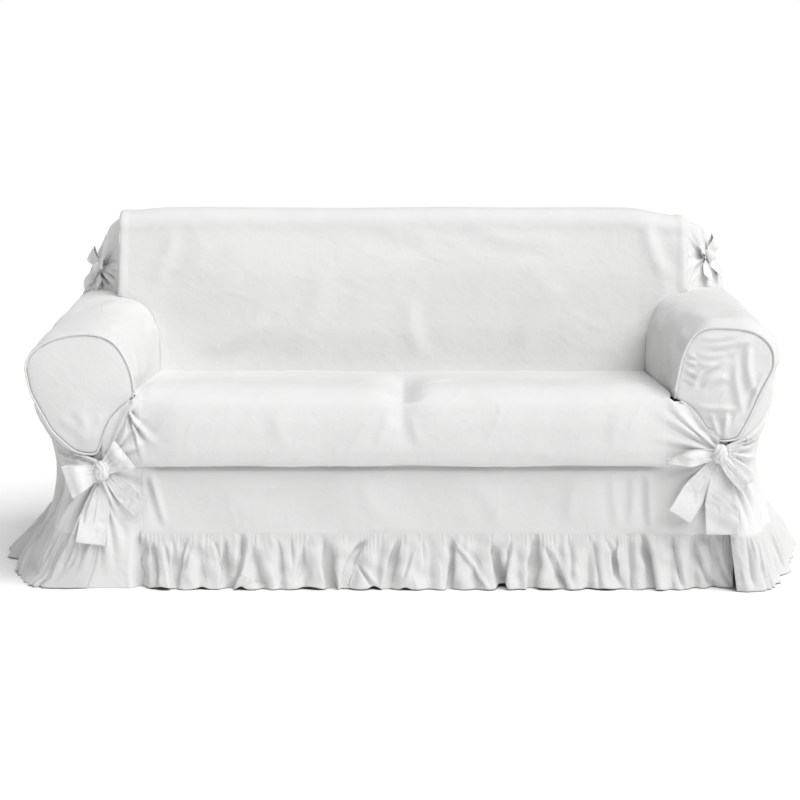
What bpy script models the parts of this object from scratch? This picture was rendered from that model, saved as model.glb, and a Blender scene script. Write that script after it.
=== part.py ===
"""Fitted cotton cover of a two-seat sofa with rolled arms: panels, gathered ruffles and four tied bows.

Metres, +Z up, +X to the right as seen from the front, +Y to the back. The origin is on the floor, at the
middle of the cover. Every piece is one layer of cloth that hangs in its draped shape, CLOTH thick, with
its outer side where the formulas put it. Pieces that are sewn together stop SEAM_GAP apart.
"""

import bpy
import numpy as np

# ---- driving sizes ----
CLOTH = 0.002  # thickness of a layer, with its seam allowance
SEAM_GAP = 0.0005  # space left along a seam
HALF_SEAT = 0.6200  # half the width between the arms
SEAT_Z = 0.4556  # where arms and back meet the seat
CROWN_Z = 0.4810  # top of the front edge of the seat
CREASE_Z = 0.2925  # fold under the front boxing
RUFFLE_Z = 0.1310  # seam between panels and ruffles
HEM_Z = 0.0020  # gathered hems clear the floor by this
FACE_Y = -0.425  # fronts of the arms
BACK_Y = 0.455  # outside of the back
BACK_FLARE = 0.027  # how far the outside back swings out at the floor
BACK_FOOT_Y = 0.130  # inside back where it meets the seat
BACK_LEAN = 0.266  # metres back for each metre up
BACK_TOP_Z = 0.873
WING_X = 0.7475  # ends of the back
ARM_SEAM_Z = 0.5305  # seam on the outer side of the arm roll
FACE_IN = FACE_Y + CLOTH + 0.0003  # the plane behind the arm faces
BACK_IN = BACK_Y - CLOTH - SEAM_GAP  # the plane before the outside back
HALF_DECK = 0.6365  # half the width of the seat's deck, which reaches under the arm covers
BACK_MEETS_ARM_Y = 0.17  # about where the inside back crosses the arm covers
CORNER_SHARE = 0.62  # share of the skirt's length that lies along the side, behind the front corner
CORNER_START_Y = FACE_Y + 0.075  # where the skirt begins to turn round the corner
WIDEST_X = 1.022  # the hems swing out no further

# the arm roll in section, from the seat over the top to the outer seam, at its front and at its back
ARM_ROWS = {
    "left": (
        # x_front, z_front, x_back, z_back
        (0.634, 0.4556, 0.632, 0.4556),  # seat_joint
        (0.636, 0.4980, 0.632, 0.5000),  # inner
        (0.652, 0.5480, 0.638, 0.5720),  # inner_high
        (0.686, 0.5940, 0.668, 0.6340),  # shoulder
        (0.7455, 0.6130, 0.7455, 0.6600),  # crest
        (0.825, 0.6000, 0.846, 0.6500),  # outer_shoulder
        (0.878, 0.5660, 0.892, 0.6080),  # outer_high
        (0.8945, 0.5305, 0.900, 0.5305),  # outer_seam
    ),
    "right": (
        (0.640, 0.4556, 0.632, 0.4556),
        (0.648, 0.5000, 0.632, 0.5020),
        (0.660, 0.5560, 0.638, 0.5750),
        (0.690, 0.6160, 0.668, 0.6360),
        (0.7455, 0.6430, 0.7455, 0.6620),
        (0.835, 0.6320, 0.858, 0.6540),
        (0.886, 0.5880, 0.912, 0.6060),
        (0.896, 0.5305, 0.910, 0.5305),
    ),
}
CREST_ROW = 4

# the outside of the arm below that seam: x at seven heights, a row for each depth y
SKIRT_Z = (0.5300, 0.4200, 0.3300, 0.2350, 0.1350, 0.0600, 0.0000)
SKIRT_Y = (-0.425, -0.280, -0.100, 0.035, 0.250, 0.455)
SKIRT_X = {
    "left": (
        (0.8945, 0.865, 0.808, 0.810, 0.842, 0.870, 0.885),
        (0.8955, 0.888, 0.850, 0.846, 0.872, 0.916, 0.940),
        (0.8970, 0.893, 0.872, 0.866, 0.888, 0.940, 0.985),
        (0.8975, 0.897, 0.884, 0.876, 0.898, 0.955, 1.021),
        (0.8990, 0.900, 0.894, 0.888, 0.906, 0.955, 1.006),
        (0.9000, 0.900, 0.897, 0.897, 0.910, 0.936, 0.960),
    ),
    "right": (
        (0.8960, 0.864, 0.828, 0.834, 0.850, 0.862, 0.868),
        (0.8985, 0.890, 0.865, 0.872, 0.902, 0.930, 0.943),
        (0.9010, 0.898, 0.886, 0.892, 0.922, 0.962, 0.985),
        (0.9035, 0.902, 0.898, 0.908, 0.944, 0.988, 1.021),
        (0.9065, 0.905, 0.901, 0.910, 0.940, 0.980, 1.010),
        (0.9100, 0.905, 0.900, 0.905, 0.922, 0.948, 0.965),
    ),
}

# the skirt's front edge: along the arm face down to the bow, then free, as the edge of the flap
EDGE_ROWS = {
    "left": (
        # z, x, y
        (0.5305, 0.8930, FACE_IN),
        (0.4700, 0.8790, FACE_IN),
        (0.3780, 0.8300, FACE_IN),
        (0.3400, 0.7900, FACE_IN),
        (0.3260, 0.7700, FACE_IN),
        (0.3110, 0.7200, -0.4312),
        (0.2500, 0.7120, -0.4350),
        (0.1350, 0.7170, -0.4400),
        (0.0500, 0.7350, -0.4380),
        (0.0000, 0.7530, -0.4330),
    ),
    "right": (
        (0.5305, 0.8780, FACE_IN),
        (0.4700, 0.8460, FACE_IN),
        (0.4100, 0.8200, FACE_IN),
        (0.3750, 0.8020, FACE_IN),
        (0.3580, 0.7930, FACE_IN),
        (0.3420, 0.7600, -0.4312),
        (0.2600, 0.7620, -0.4400),
        (0.1350, 0.7750, -0.4560),
        (0.0500, 0.7850, -0.4640),
        (0.0000, 0.7920, -0.4680),
    ),
}
FLAP_Y = {"left": -0.455, "right": -0.507}  # where the flap's rounded corner would meet at the floor
# the lower inner edge of the arm face, from the bow up to the seat: x, z
FACE_INNER = {
    "left": ((0.724, 0.3200), (0.706, 0.3700), (0.688, 0.4070), (0.667, 0.4300), (0.645, 0.4480)),
    "right": ((0.750, 0.3520), (0.716, 0.3850), (0.694, 0.4180), (0.674, 0.4400), (0.652, 0.4520)),
}
# the corner panel below the arm face: its lower end, and x of its outer edge under the flap and at the bow
FRONT_PANELS = {
    # z, x_hidden, x_neck
    "left": (0.0, 0.735, 0.712),
    "right": (RUFFLE_Z + SEAM_GAP, 0.788, 0.750),
}
FACE_MIDDLE = (0.765, 0.500)  # x, z of the middle of the arm roll
FACE_DRAWN_IN = {"left": 0.004, "right": 0.020}  # how much the roll is drawn in at its face
FACE_PUFF = 0.010  # how far the face swells forward

# how far the wings' rear edges stand out beyond WING_X
WING_ROWS = (
    # z, left, right
    (0.860, 0.022, 0.050),
    (0.830, 0.040, 0.068),
    (0.790, 0.064, 0.085),
    (0.740, 0.090, 0.108),
    (0.700, 0.106, 0.124),
    (0.640, 0.126, 0.138),
)

# folds pressed into the skirt from its outside: y at the top, y at the hem, depth at the hem, half width
SKIRT_FOLDS = {
    "left": (
        (-0.330, -0.235, 0.052, 0.034),
        (-0.200, -0.130, 0.014, 0.040),
        (0.020, 0.130, 0.016, 0.050),
        (0.280, 0.330, 0.018, 0.045),
    ),
    "right": (
        (-0.340, -0.300, 0.016, 0.030),
        (-0.220, -0.170, 0.024, 0.036),
        (-0.110, -0.050, 0.012, 0.034),
        (0.260, 0.300, 0.020, 0.045),
    ),
}
FOLD_TOP_Z = 0.330  # the folds of the skirt begin here

# valleys of the front ruffle: x at the seam, x at the hem, depth at the hem, half width
FRONT_FOLDS = (
    (-0.588, -0.598, 0.024, 0.014),
    (-0.529, -0.540, 0.021, 0.013),
    (-0.478, -0.484, 0.015, 0.016),
    (-0.421, -0.417, 0.026, 0.012),
    (-0.371, -0.331, 0.027, 0.014),
    (-0.300, -0.290, 0.015, 0.011),
    (-0.232, -0.238, 0.018, 0.015),
    (-0.169, -0.172, 0.026, 0.012),
    (-0.090, -0.130, 0.027, 0.014),
    (-0.050, -0.066, 0.013, 0.011),
    (-0.005, -0.028, 0.026, 0.013),
    (0.060, 0.064, 0.017, 0.015),
    (0.114, 0.119, 0.021, 0.012),
    (0.168, 0.176, 0.015, 0.013),
    (0.224, 0.236, 0.028, 0.012),
    (0.272, 0.276, 0.013, 0.013),
    (0.319, 0.312, 0.024, 0.012),
    (0.366, 0.376, 0.018, 0.013),
    (0.443, 0.440, 0.024, 0.013),
    (0.500, 0.520, 0.019, 0.014),
    (0.574, 0.586, 0.027, 0.013),
    (0.630, 0.640, 0.018, 0.012),
    (0.690, 0.696, 0.021, 0.012),
    (0.745, 0.742, 0.015, 0.012),
)
APRON_Y = -0.415
RUFFLE_SWING = 0.036  # how far the front ruffle swings out at the hem
FRONT_RUFFLE_END = 0.788  # its right end, behind the flap; the left end is at the seat's corner

# the bows: where the ribbon is tied, which way is out, its size beside the front ones, and how far out
# the knot lies on the ribbon
BOWS = {
    "front_left": ((-0.709, -0.4329, 0.287), (0.0, -1.0, 0.0), 1.0, 0.0145),
    "front_right": ((0.749, -0.4342, 0.326), (0.0, -1.0, 0.0), 1.0, 0.0152),
    "back_left": ((-0.8155, 0.356, 0.704), (-0.84, -0.46, 0.28), 0.72, 0.0149),
    "back_right": ((0.8172, 0.357, 0.739), (0.84, -0.46, 0.28), 0.72, 0.0179),
}
# across, up (from the knot to the middle of the end), half width of the end
BOW_LOOPS = {
    "front_left": ((-0.082, -0.027, 0.040), (0.056, 0.042, 0.040)),
    "front_right": ((-0.125, -0.016, 0.024), (0.062, -0.072, 0.026)),
    "back_left": ((-0.070, 0.062, 0.032), (0.078, 0.030, 0.030)),
    "back_right": ((-0.078, 0.034, 0.030), (0.074, 0.054, 0.032)),
}
# the same, and how far the end stands out from the cloth under the bow
BOW_TAILS = {
    "front_left": ((-0.031, -0.176, 0.034, 0.022), (0.091, -0.092, 0.026, 0.020)),
    "front_right": ((-0.095, -0.149, 0.031, 0.020), (0.006, -0.190, 0.038, 0.040)),
    "back_left": ((-0.070, -0.060, 0.028, 0.024), (0.064, -0.068, 0.028, 0.020)),
    "back_right": ((-0.062, -0.084, 0.028, 0.018), (0.068, -0.076, 0.028, 0.022)),
}
KNOT_HALF = (0.023, 0.025, 0.018)  # across, up, out
PINCH = 0.011  # half width of the ribbon in the knot
LOOP_DEPTH = 0.014  # half the space inside a loop
LOOP_LAYERS = ((0.0082, 0.0112), (0.0112, 0.0142))  # how far out each loop starts and ends
LOOP_OPENS = 0.026  # how far from the knot's middle the loops begin to open
RIBBON = 0.0018  # thickness of the bows' cloth
TAIL_LIFT = 0.0045  # how far out the tails lie under the knot
TAIL_FLAT = 0.20  # share of a tail's length that lies flat under the loops


# ---- smooth curves ----
def shares(at, knots):
    """How much each knot's value counts at each place of a smooth curve through all of them."""
    at = np.asarray(at, float)
    knots = np.asarray(knots, float)
    values = np.eye(len(knots))
    slopes = np.gradient(values, knots, axis=0)
    i = np.clip(np.searchsorted(knots, at, side="right") - 1, 0, len(knots) - 2)
    step = (knots[i + 1] - knots[i])[..., None]
    f = np.clip((at - knots[i]) / step[..., 0], 0.0, 1.0)[..., None]
    start = (1 + 2 * f) * (1 - f) ** 2 * values[i] + f * (1 - f) ** 2 * step * slopes[i]
    end = f**2 * (3 - 2 * f) * values[i + 1] + f**2 * (f - 1) * step * slopes[i + 1]
    return start + end


def ease(at):
    """0 up to 0, 1 from 1 on, and smooth between them."""
    at = np.clip(at, 0.0, 1.0)
    return at * at * (3 - 2 * at)


def grid_of(rows, columns):
    """Two arrays that hold every pair of a row's and a column's value."""
    return np.meshgrid(rows, columns, indexing="ij")


# ---- the lines that pieces share ----
def inside_back_y(z):
    """The inside back's front side, a leaning plane."""
    return BACK_FOOT_Y + (z - SEAT_Z) * BACK_LEAN


def outside_back_y(z):
    """The outside back, upright and swinging out towards the floor."""
    return BACK_Y + BACK_FLARE * np.clip((0.40 - z) / 0.40, 0.0, 1.0) ** 1.5


def arm_section(side, y, rows):
    """Points (x, z) of the arm roll at depth y: rows is a place along ARM_ROWS, from 0 to 7."""
    table = np.array(ARM_ROWS[side])
    share = shares(rows, np.arange(len(table)))
    front = share @ table[:, :2]
    back = share @ table[:, 2:]
    along = ((y - FACE_Y) / (BACK_Y - FACE_Y))[..., None]
    points = front + (back - front) * along
    drawn = FACE_DRAWN_IN[side] * (1 - ease((y - FACE_Y) / 0.06))
    away = points - np.array(FACE_MIDDLE)
    length = np.linalg.norm(away, axis=-1, keepdims=True)
    outer = ease((points[..., :1] - 0.66) / 0.10)
    points = points - away / length * drawn[..., None] * outer
    points[..., 1] = np.maximum(points[..., 1], np.where(rows > 6.9, ARM_SEAM_Z, 0.0))
    return points


def skirt_side_x(side, z, y):
    """The outside of the arm below the roll, before its folds."""
    across = shares(y, SKIRT_Y)
    down = shares(-z, -np.array(SKIRT_Z))
    return np.einsum("...i,...j,ij->...", across, down, np.array(SKIRT_X[side]))


def skirt_folds(side, z, y):
    """How far the skirt's folds reach in at height z and depth y."""
    low = np.clip((FOLD_TOP_Z - z) / FOLD_TOP_Z, 0.0, 1.0)
    total = np.zeros(np.broadcast(z, y).shape)
    for top_y, hem_y, depth, half in SKIRT_FOLDS[side]:
        middle = top_y + (hem_y - top_y) * low
        total += depth * low**0.8 * np.exp(-(((y - middle) / half) ** 2))
    return total


def skirt_plan(side, z, t):
    """Points (x, y) of the skirt at height z: t runs from 0 at the back, over CORNER_SHARE, to 1."""
    start_y = CORNER_START_Y * np.ones_like(z)
    face_y = FACE_Y * np.ones_like(z)
    y_back = outside_back_y(z) - CLOTH - SEAM_GAP
    y_side = y_back + (start_y - y_back) * np.clip(t / CORNER_SHARE, 0.0, 1.0)
    before_back = ease((BACK_Y - 0.02 - y_side) / 0.05)
    x_side = skirt_side_x(side, z, y_side) - skirt_folds(side, z, y_side) * before_back
    x_start = skirt_side_x(side, z, start_y) - skirt_folds(side, z, start_y)
    edge = np.array(EDGE_ROWS[side])
    x_edge = np.interp(-z, -edge[:, 0], edge[:, 1])
    y_edge = np.interp(-z, -edge[:, 0], edge[:, 2])
    reach = np.clip((0.30 - z) / 0.30, 0.0, 1.0) ** 1.2
    x_corner = np.maximum(skirt_side_x(side, z, face_y), x_edge)
    y_corner = y_edge + (FLAP_Y[side] - y_edge) * reach
    f = np.clip((t - CORNER_SHARE) / (1 - CORNER_SHARE), 0.0, 1.0)
    x = (1 - f) ** 2 * x_start + 2 * f * (1 - f) * x_corner + f**2 * x_edge
    y = (1 - f) ** 2 * start_y + 2 * f * (1 - f) * y_corner + f**2 * y_edge
    on_side = t <= CORNER_SHARE
    return np.where(on_side, x_side, x), np.where(on_side, y_side, y)


def wing_flare(side, z, z_top):
    """How far the wing's rear edge stands out from its front edge, closing in at its top."""
    table = np.array(WING_ROWS)
    column = 1 if side == "left" else 2
    return np.interp(-z, -table[:, 0], table[:, column]) * ease((z_top - z) / 0.030)


def crest_z(side):
    """Height of the arm roll's crest where the back crosses it."""
    return arm_section(side, np.array([BACK_MEETS_ARM_Y]), np.array([float(CREST_ROW)]))[0, 1]


def back_end_z(side):
    """Height of the rounded corner where the top of the back meets the outside back."""
    end = np.array(BACK_TOP_ROWS[-1][1])
    return end - top_drop(side, np.array(WING_X), end)


def arm_top_z(side, x, y):
    """Height of the arm roll at x beyond its crest and depth y."""
    rows = np.linspace(CREST_ROW, 7, 7)
    found = np.empty(np.broadcast(x, y).shape)
    for place in np.ndindex(found.shape):
        section = arm_section(side, np.full(len(rows), y[place]), rows)
        found[place] = np.interp(x[place], section[:, 0], section[:, 1])
    return found


# ---- meshes ----
def cotton(name, colour):
    """A plain matt cotton of this colour."""
    material = bpy.data.materials.new(name)
    material.use_nodes = True
    shader = material.node_tree.nodes["Principled BSDF"]
    shader.inputs["Base Color"].default_value = (*colour, 1.0)
    shader.inputs["Roughness"].default_value = 0.9
    shader.inputs["Metallic"].default_value = 0.0
    return material


def cloth_piece(name, grids, colour, facing, thick=CLOTH):
    """One sheet from grids of points that share their common edges; facing is a way its outer side looks."""
    points = np.concatenate([grid.reshape(-1, 3) for grid in grids])
    faces = []
    first = 0
    for grid in grids:
        rows, columns = grid.shape[:2]
        number = first + np.arange(rows * columns).reshape(rows, columns)
        corners = (number[:-1, :-1], number[1:, :-1], number[1:, 1:], number[:-1, 1:])
        faces.append(np.stack(corners, axis=-1).reshape(-1, 4))
        first += rows * columns
    faces = np.concatenate(faces)
    microns = np.round(points * 1e6).astype(np.int64)
    _, kept, index = np.unique(microns, axis=0, return_index=True, return_inverse=True)
    points = points[kept]
    faces = index.reshape(-1)[faces]
    diagonals = points[faces[:, 2:]] - points[faces[:, :2]]
    normals = np.cross(diagonals[:, 0], diagonals[:, 1])
    if (normals @ np.array(facing)).sum() < 0:
        faces = faces[:, ::-1]
    mesh = bpy.data.meshes.new(name)
    mesh.from_pydata(points.tolist(), [], [list(dict.fromkeys(face)) for face in faces.tolist()])
    mesh.shade_smooth()
    piece = bpy.data.objects.new(name, mesh)
    bpy.context.scene.collection.objects.link(piece)
    mesh.materials.append(cotton(name + "_cotton", colour))
    wall = piece.modifiers.new("cloth", "SOLIDIFY")
    wall.thickness = thick
    wall.offset = -1.0
    return piece


def mirrored(side, x):
    """The tables hold distances from the middle; the left side lies at negative x."""
    return -x if side == "left" else x


def outward(side):
    """The way that side of the cover looks."""
    return (-1 if side == "left" else 1, 0, 0)


def stacked(x, y, z):
    """A grid of points from three arrays."""
    return np.stack(np.broadcast_arrays(x, y, z), axis=-1)


# ---- the arms ----
ARM_DEPTHS = np.array((0.0, 0.05, 0.12, 0.22, 0.36, 0.52, 0.68, 0.84, 1.0))


def arm_cover(side):
    """From the seat over the roll to the outer seam; behind the inside back only its outer half goes on."""
    rows = np.linspace(0, 7, 15)
    crest = CREST_ROW * 2
    z_back = arm_section(side, np.full(15, BACK_MEETS_ARM_Y), rows)[:, 1]
    z_end = np.where(rows <= CREST_ROW, z_back, z_back[crest])
    y_end = inside_back_y(z_end - CLOTH) - SEAM_GAP
    share, row = grid_of(ARM_DEPTHS, rows)
    y = FACE_IN + (y_end[None, :] - FACE_IN) * share
    section = arm_section(side, y, row)
    front = stacked(mirrored(side, section[..., 0]), y, section[..., 1])
    share, row = grid_of(np.linspace(0, 1, 5), rows[crest:])
    y = y_end[crest] + (BACK_IN - y_end[crest]) * share
    section = arm_section(side, y, row)
    behind = stacked(mirrored(side, section[..., 0]), y, section[..., 1])
    return cloth_piece(f"arm_cover_{side}", [front, behind], (0.84, 0.84, 0.84), (0, 0, 1))


def face_outline(side):
    """The arm face's edge, as (x, z), all the way round from the seat over the top."""
    rows = np.linspace(0, 7, 15)
    over = arm_section(side, np.full(15, FACE_Y), rows)
    down = np.array([(x, z) for z, x, _ in EDGE_ROWS[side][1:5]])
    return np.concatenate([over[1:], down, np.array(FACE_INNER[side])])


def arm_face(side):
    """A piped teardrop that swells forward a little in its middle."""
    outline = face_outline(side)
    middle = np.array((FACE_MIDDLE[0], FACE_MIDDLE[1] - 0.02))
    rings = np.array((1.0, 0.80, 0.45, 0.0))[:, None, None]
    around = np.concatenate([outline, outline[:1]])[None]
    flat = middle + (around - middle) * rings
    swell = FACE_PUFF * (1 - rings[..., 0] ** 2) * np.ones(flat.shape[:2])
    points = stacked(mirrored(side, flat[..., 0]), FACE_Y - swell, flat[..., 1])
    return cloth_piece(f"arm_face_{side}", [points], (0.86, 0.86, 0.86), (0, -1, 0))


def arm_front(side):
    """The corner panel beside the seat: to the floor on the left, to the ruffle on the right."""
    bottom, hidden_x, neck_x = FRONT_PANELS[side]
    waist = FACE_INNER[side][0][1]
    inner = np.array(FACE_INNER[side])
    around_waist = (waist - 0.060, waist - 0.020, waist + 0.010)
    z_rows = np.array((bottom, 0.06, 0.11, 0.16, 0.21, *around_waist, 0.385, 0.42, SEAT_Z - 0.0011))
    z_rows = z_rows[z_rows >= bottom]
    z_known = np.array((0.0, waist - 0.060, waist - 0.035, waist + 0.012, *inner[1:, 1]))
    x_known = np.array((hidden_x, hidden_x, neck_x, neck_x, *(inner[1:, 0] + 0.004)))
    z, u = grid_of(z_rows, np.linspace(0, 1, 8))
    x_outer = np.interp(z, z_known, x_known)
    x_inner = HALF_SEAT + 0.0003
    x = x_outer + (x_inner - x_outer) * u
    swell = 0.010 * np.sin(np.pi * np.clip(u * 1.2 - 0.2, 0, 1)) * ease(z / 0.3)
    fold = 0.010 * np.exp(-(((u - 0.80) / 0.09) ** 2)) * ease((0.15 - z) / 0.12)
    swing = 0.004 * (1 - ease(z / 0.25)) * u
    y = FACE_Y - CLOTH - 0.0020 - swell - swing + fold * (side == "left")
    points = stacked(mirrored(side, x), y, z)
    return cloth_piece(f"arm_front_{side}", [points], (0.83, 0.83, 0.83), (0, -1, 0))


# ---- the sides ----
def side_skirt(side):
    """The outside of the arm: it hangs from the roll's seam and wraps round the corner to the bow."""
    beside_face = [row[0] for row in EDGE_ROWS[side][1:6]]
    heights = (ARM_SEAM_Z - 2 * SEAM_GAP, *beside_face, 0.2700, 0.2350, 0.1850, RUFFLE_Z + SEAM_GAP)
    along = np.concatenate([np.linspace(0, CORNER_SHARE, 15), np.linspace(CORNER_SHARE, 1, 8)[1:]])
    z, t = grid_of(heights, along)
    x, y = skirt_plan(side, z, t)
    points = stacked(mirrored(side, x), y, z)
    return cloth_piece(f"side_skirt_{side}", [points], (0.85, 0.85, 0.85), outward(side))


def side_ruffle(side):
    """The gathered strip under the skirt: its waves grow from the seam to the hem."""
    waves = 17
    z, t = grid_of((RUFFLE_Z - SEAM_GAP, 0.098, 0.050, HEM_Z), np.linspace(0, 1, waves * 4 + 1))
    x, y = skirt_plan(side, z, t)
    tangent = np.stack([np.gradient(x, axis=1), np.gradient(y, axis=1)], axis=-1)
    tangent /= np.linalg.norm(tangent, axis=-1, keepdims=True)
    drop = (RUFFLE_Z - z) / RUFFLE_Z
    uneven = 1 + 0.35 * np.sin(5.3 * np.pi * t + (1.0 if side == "left" else 2.2))
    ends = ease(t / 0.05) * ease((1 - t) / 0.05)
    phase = 2 * np.pi * (waves * t + 0.45 * np.sin(3.1 * np.pi * t))
    wave = 0.0105 * uneven * ends * drop**0.8 * np.sin(phase)
    x = x - tangent[..., 1] * wave
    y = y + tangent[..., 0] * wave
    x = x + 0.004 * drop * ends
    points = stacked(mirrored(side, np.minimum(x, WIDEST_X)), y, z)
    return cloth_piece(f"side_ruffle_{side}", [points], (0.85, 0.85, 0.85), outward(side))


# ---- the back ----
BACK_TOP_ROWS = (
    # y, z over the top of the back, from its front side to the outside back
    (0.2320, 0.8450),
    (0.2550, 0.8660),
    (0.3000, BACK_TOP_Z),
    (0.3550, 0.8710),
    (0.4100, 0.8640),
    (0.4400, 0.8540),
    (BACK_IN, 0.8420),
)


def top_drop(side, x, z):
    """How far the back's rounded corners lie below its top."""
    most = 0.008 if side == "left" else 0.020
    return most * ease((np.abs(x) - 0.60) / 0.145) * ease((z - 0.76) / 0.09)


def inside_back():
    """Up the front of the back from the seat, between and over the arms, and over the top."""
    front_z = (SEAT_Z + SEAM_GAP, 0.50, 0.55, 0.60, 0.635, 0.664, 0.71, 0.76, 0.81)
    profile = np.array([(inside_back_y(z), z) for z in front_z] + list(BACK_TOP_ROWS))
    between_wings = WING_X - CLOTH - 0.0003
    half = {}
    for side in ARM_ROWS:
        section = arm_section(side, np.full(9, BACK_MEETS_ARM_Y), np.linspace(0, CREST_ROW, 9))
        along = np.interp(profile[:, 1], section[:, 1], section[:, 0] + 0.001)
        half[side] = np.where(profile[:, 1] >= crest_z(side), between_wings, along)
    row, u = grid_of(np.arange(len(profile)), np.linspace(-1, 1, 17))
    x = np.where(u < 0, half["left"][row] * u, half["right"][row] * u)
    y = profile[row, 0]
    z = profile[row, 1]
    z = z - np.where(u < 0, top_drop("left", x, z), top_drop("right", x, z))
    between_arms = np.clip(1 - (x / HALF_SEAT) ** 4, 0, 1)
    swell = 0.014 * between_arms * ease((z - SEAT_Z) / 0.12) * ease((0.845 - z) / 0.15)
    points = stacked(x, y - swell, z)
    return cloth_piece("inside_back", [points], (0.84, 0.84, 0.84), (0, -1, 0.6))


def back_wing(side):
    """The end of the back: upright at its front edge, swinging out over the arm at its rear edge."""
    v, u = grid_of((0.0, 0.2, 0.4, 0.6, 0.75, 0.88, 1.0), np.linspace(0, 1, 9))
    top = np.array(BACK_TOP_ROWS)
    foot_z = crest_z(side)
    y_front = inside_back_y(foot_z + (top[0, 1] - foot_z) * v)
    y = y_front + (BACK_IN - y_front) * u
    z_top = np.interp(y, top[:, 0], top[:, 1]) - 0.0004
    z_top = z_top - top_drop(side, np.full(y.shape, WING_X), z_top)
    out = ease((u - 0.05) / 0.95)
    x_low = WING_X + wing_flare(side, np.full(y.shape, 0.65), 0.8) * out
    z_low = arm_top_z(side, x_low, y) + 0.0035
    z = z_low + (z_top - z_low) * v
    x = WING_X + wing_flare(side, z, z_top) * out
    points = stacked(mirrored(side, x), y, z)
    return cloth_piece(f"back_wing_{side}", [points], (0.80, 0.80, 0.80), outward(side))


def rear_half_width(side, z):
    """Half the width of the outside back at height z."""
    section = arm_section(side, np.full(7, BACK_Y), np.linspace(7, CREST_ROW, 7))
    on_wing = WING_X + wing_flare(side, z, back_end_z(side))
    on_arm = np.interp(z, section[:, 1], section[:, 0])
    on_skirt = skirt_side_x(side, z, np.full(z.shape, BACK_Y))
    wing_foot_z = 0.615
    above = np.where(z < wing_foot_z, np.maximum(on_arm, on_wing), on_wing)
    return np.where(z < ARM_SEAM_Z, on_skirt, above)


def outside_back():
    """A plain panel from the top of the back to the floor, with a few soft folds in its lower part."""
    low = (0.0, 0.045, 0.10, 0.18, 0.27, 0.38)
    high = (0.53, 0.575, 0.615, 0.65, 0.70, 0.76, 0.80, 0.825, BACK_TOP_ROWS[-1][1])
    heights = np.array(low + high)
    z, u = grid_of(heights, np.linspace(-1, 1, 19))
    half = {}
    for side in ARM_ROWS:
        border_z = heights - top_drop(side, np.full(heights.shape, WING_X), heights)
        half[side] = rear_half_width(side, border_z)
    row = np.arange(len(heights))[:, None] + np.zeros(u.shape, int)
    x = np.where(u < 0, half["left"][row] * u, half["right"][row] * u)
    lower = z - np.where(u < 0, top_drop("left", x, z), top_drop("right", x, z))
    middle = np.clip(1 - u**6, 0, 1) * ease((0.55 - z) / 0.55)
    waves = 0.013 * np.sin(9.4 * u + 0.6) + 0.009 * np.sin(21.0 * u + 1.9)
    y = np.minimum(outside_back_y(z) + waves * middle, BACK_Y + BACK_FLARE)
    points = stacked(x, y, lower)
    return cloth_piece("outside_back", [points], (0.82, 0.82, 0.82), (0, 1, 0))


# ---- the seat ----
SEAT_ROWS = (
    # y, z of the seat from the back, over the front edge, down the boxing and under it
    (0.1600, SEAT_Z - 0.0005),
    (0.1200, SEAT_Z),
    (0.0000, 0.4610),
    (-0.1400, 0.4680),
    (-0.2700, 0.4760),
    (-0.3500, CROWN_Z),
    (-0.4050, 0.4720),
    (-0.4380, 0.4480),
    (-0.4500, 0.4100),
    (-0.4520, 0.3650),
    (-0.4490, 0.3250),
    (-0.4380, 0.2990),
    (-0.4180, CREASE_Z),
)


# shares of the seat's half width at which it is divided
SEAT_PLACES = (0.035, 0.08, 0.17, 0.28, 0.40, 0.52, 0.64, 0.76, 0.86, 0.93, 0.978, 1.0)


def seat_cover():
    """Deck and front boxing, crowned on each of two seat cushions, with the dip between them."""
    rows = np.array(SEAT_ROWS)
    places = np.array(SEAT_PLACES)
    row, u = grid_of(np.arange(len(rows)), np.concatenate([-places[::-1], [0.0], places]))
    y = rows[row, 0]
    z = rows[row, 1]
    on_deck = ease((z - 0.445) / 0.02)
    narrow = ease((-0.405 - y) / 0.020)
    half = HALF_DECK + (HALF_SEAT - 0.0003 - HALF_DECK) * narrow
    x = u * half
    side = ease((np.abs(u) - 0.84) / 0.130)
    dip = np.exp(-((x / 0.040) ** 2))
    deck_z = z - 0.034 * dip * on_deck * ease((0.12 - y) / 0.3)
    level = SEAT_Z - 0.0005
    z = np.where(z > level, deck_z + (level - deck_z) * side, deck_z)
    end = ease((np.abs(u) - 0.80) / 0.20) * ease((-0.40 - y) / 0.03)
    y = y + (-0.4278 - y) * end
    y = y + 0.010 * dip * ease((-0.42 - y) / 0.02) * ease((z - 0.33) / 0.1)
    points = stacked(x, y, z)
    return cloth_piece("seat_cover", [points], (0.86, 0.86, 0.86), (0, -1, 1))


def front_apron():
    """The flat panel between the fold under the seat and the ruffle."""
    heights = (RUFFLE_Z + SEAM_GAP, 0.165, 0.205, 0.250, CREASE_Z - 0.0012)
    z, u = grid_of(heights, np.linspace(-1, 1, 17))
    x = u * (HALF_SEAT - 0.0003)
    tug = 0.004 * np.sin(14.0 * u + 0.8) * np.sin(np.pi * (z - RUFFLE_Z) / (CREASE_Z - RUFFLE_Z))
    points = stacked(x, APRON_Y + tug * (1 - u**8), z)
    return cloth_piece("front_apron", [points], (0.78, 0.78, 0.78), (0, -1, 0))


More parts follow.
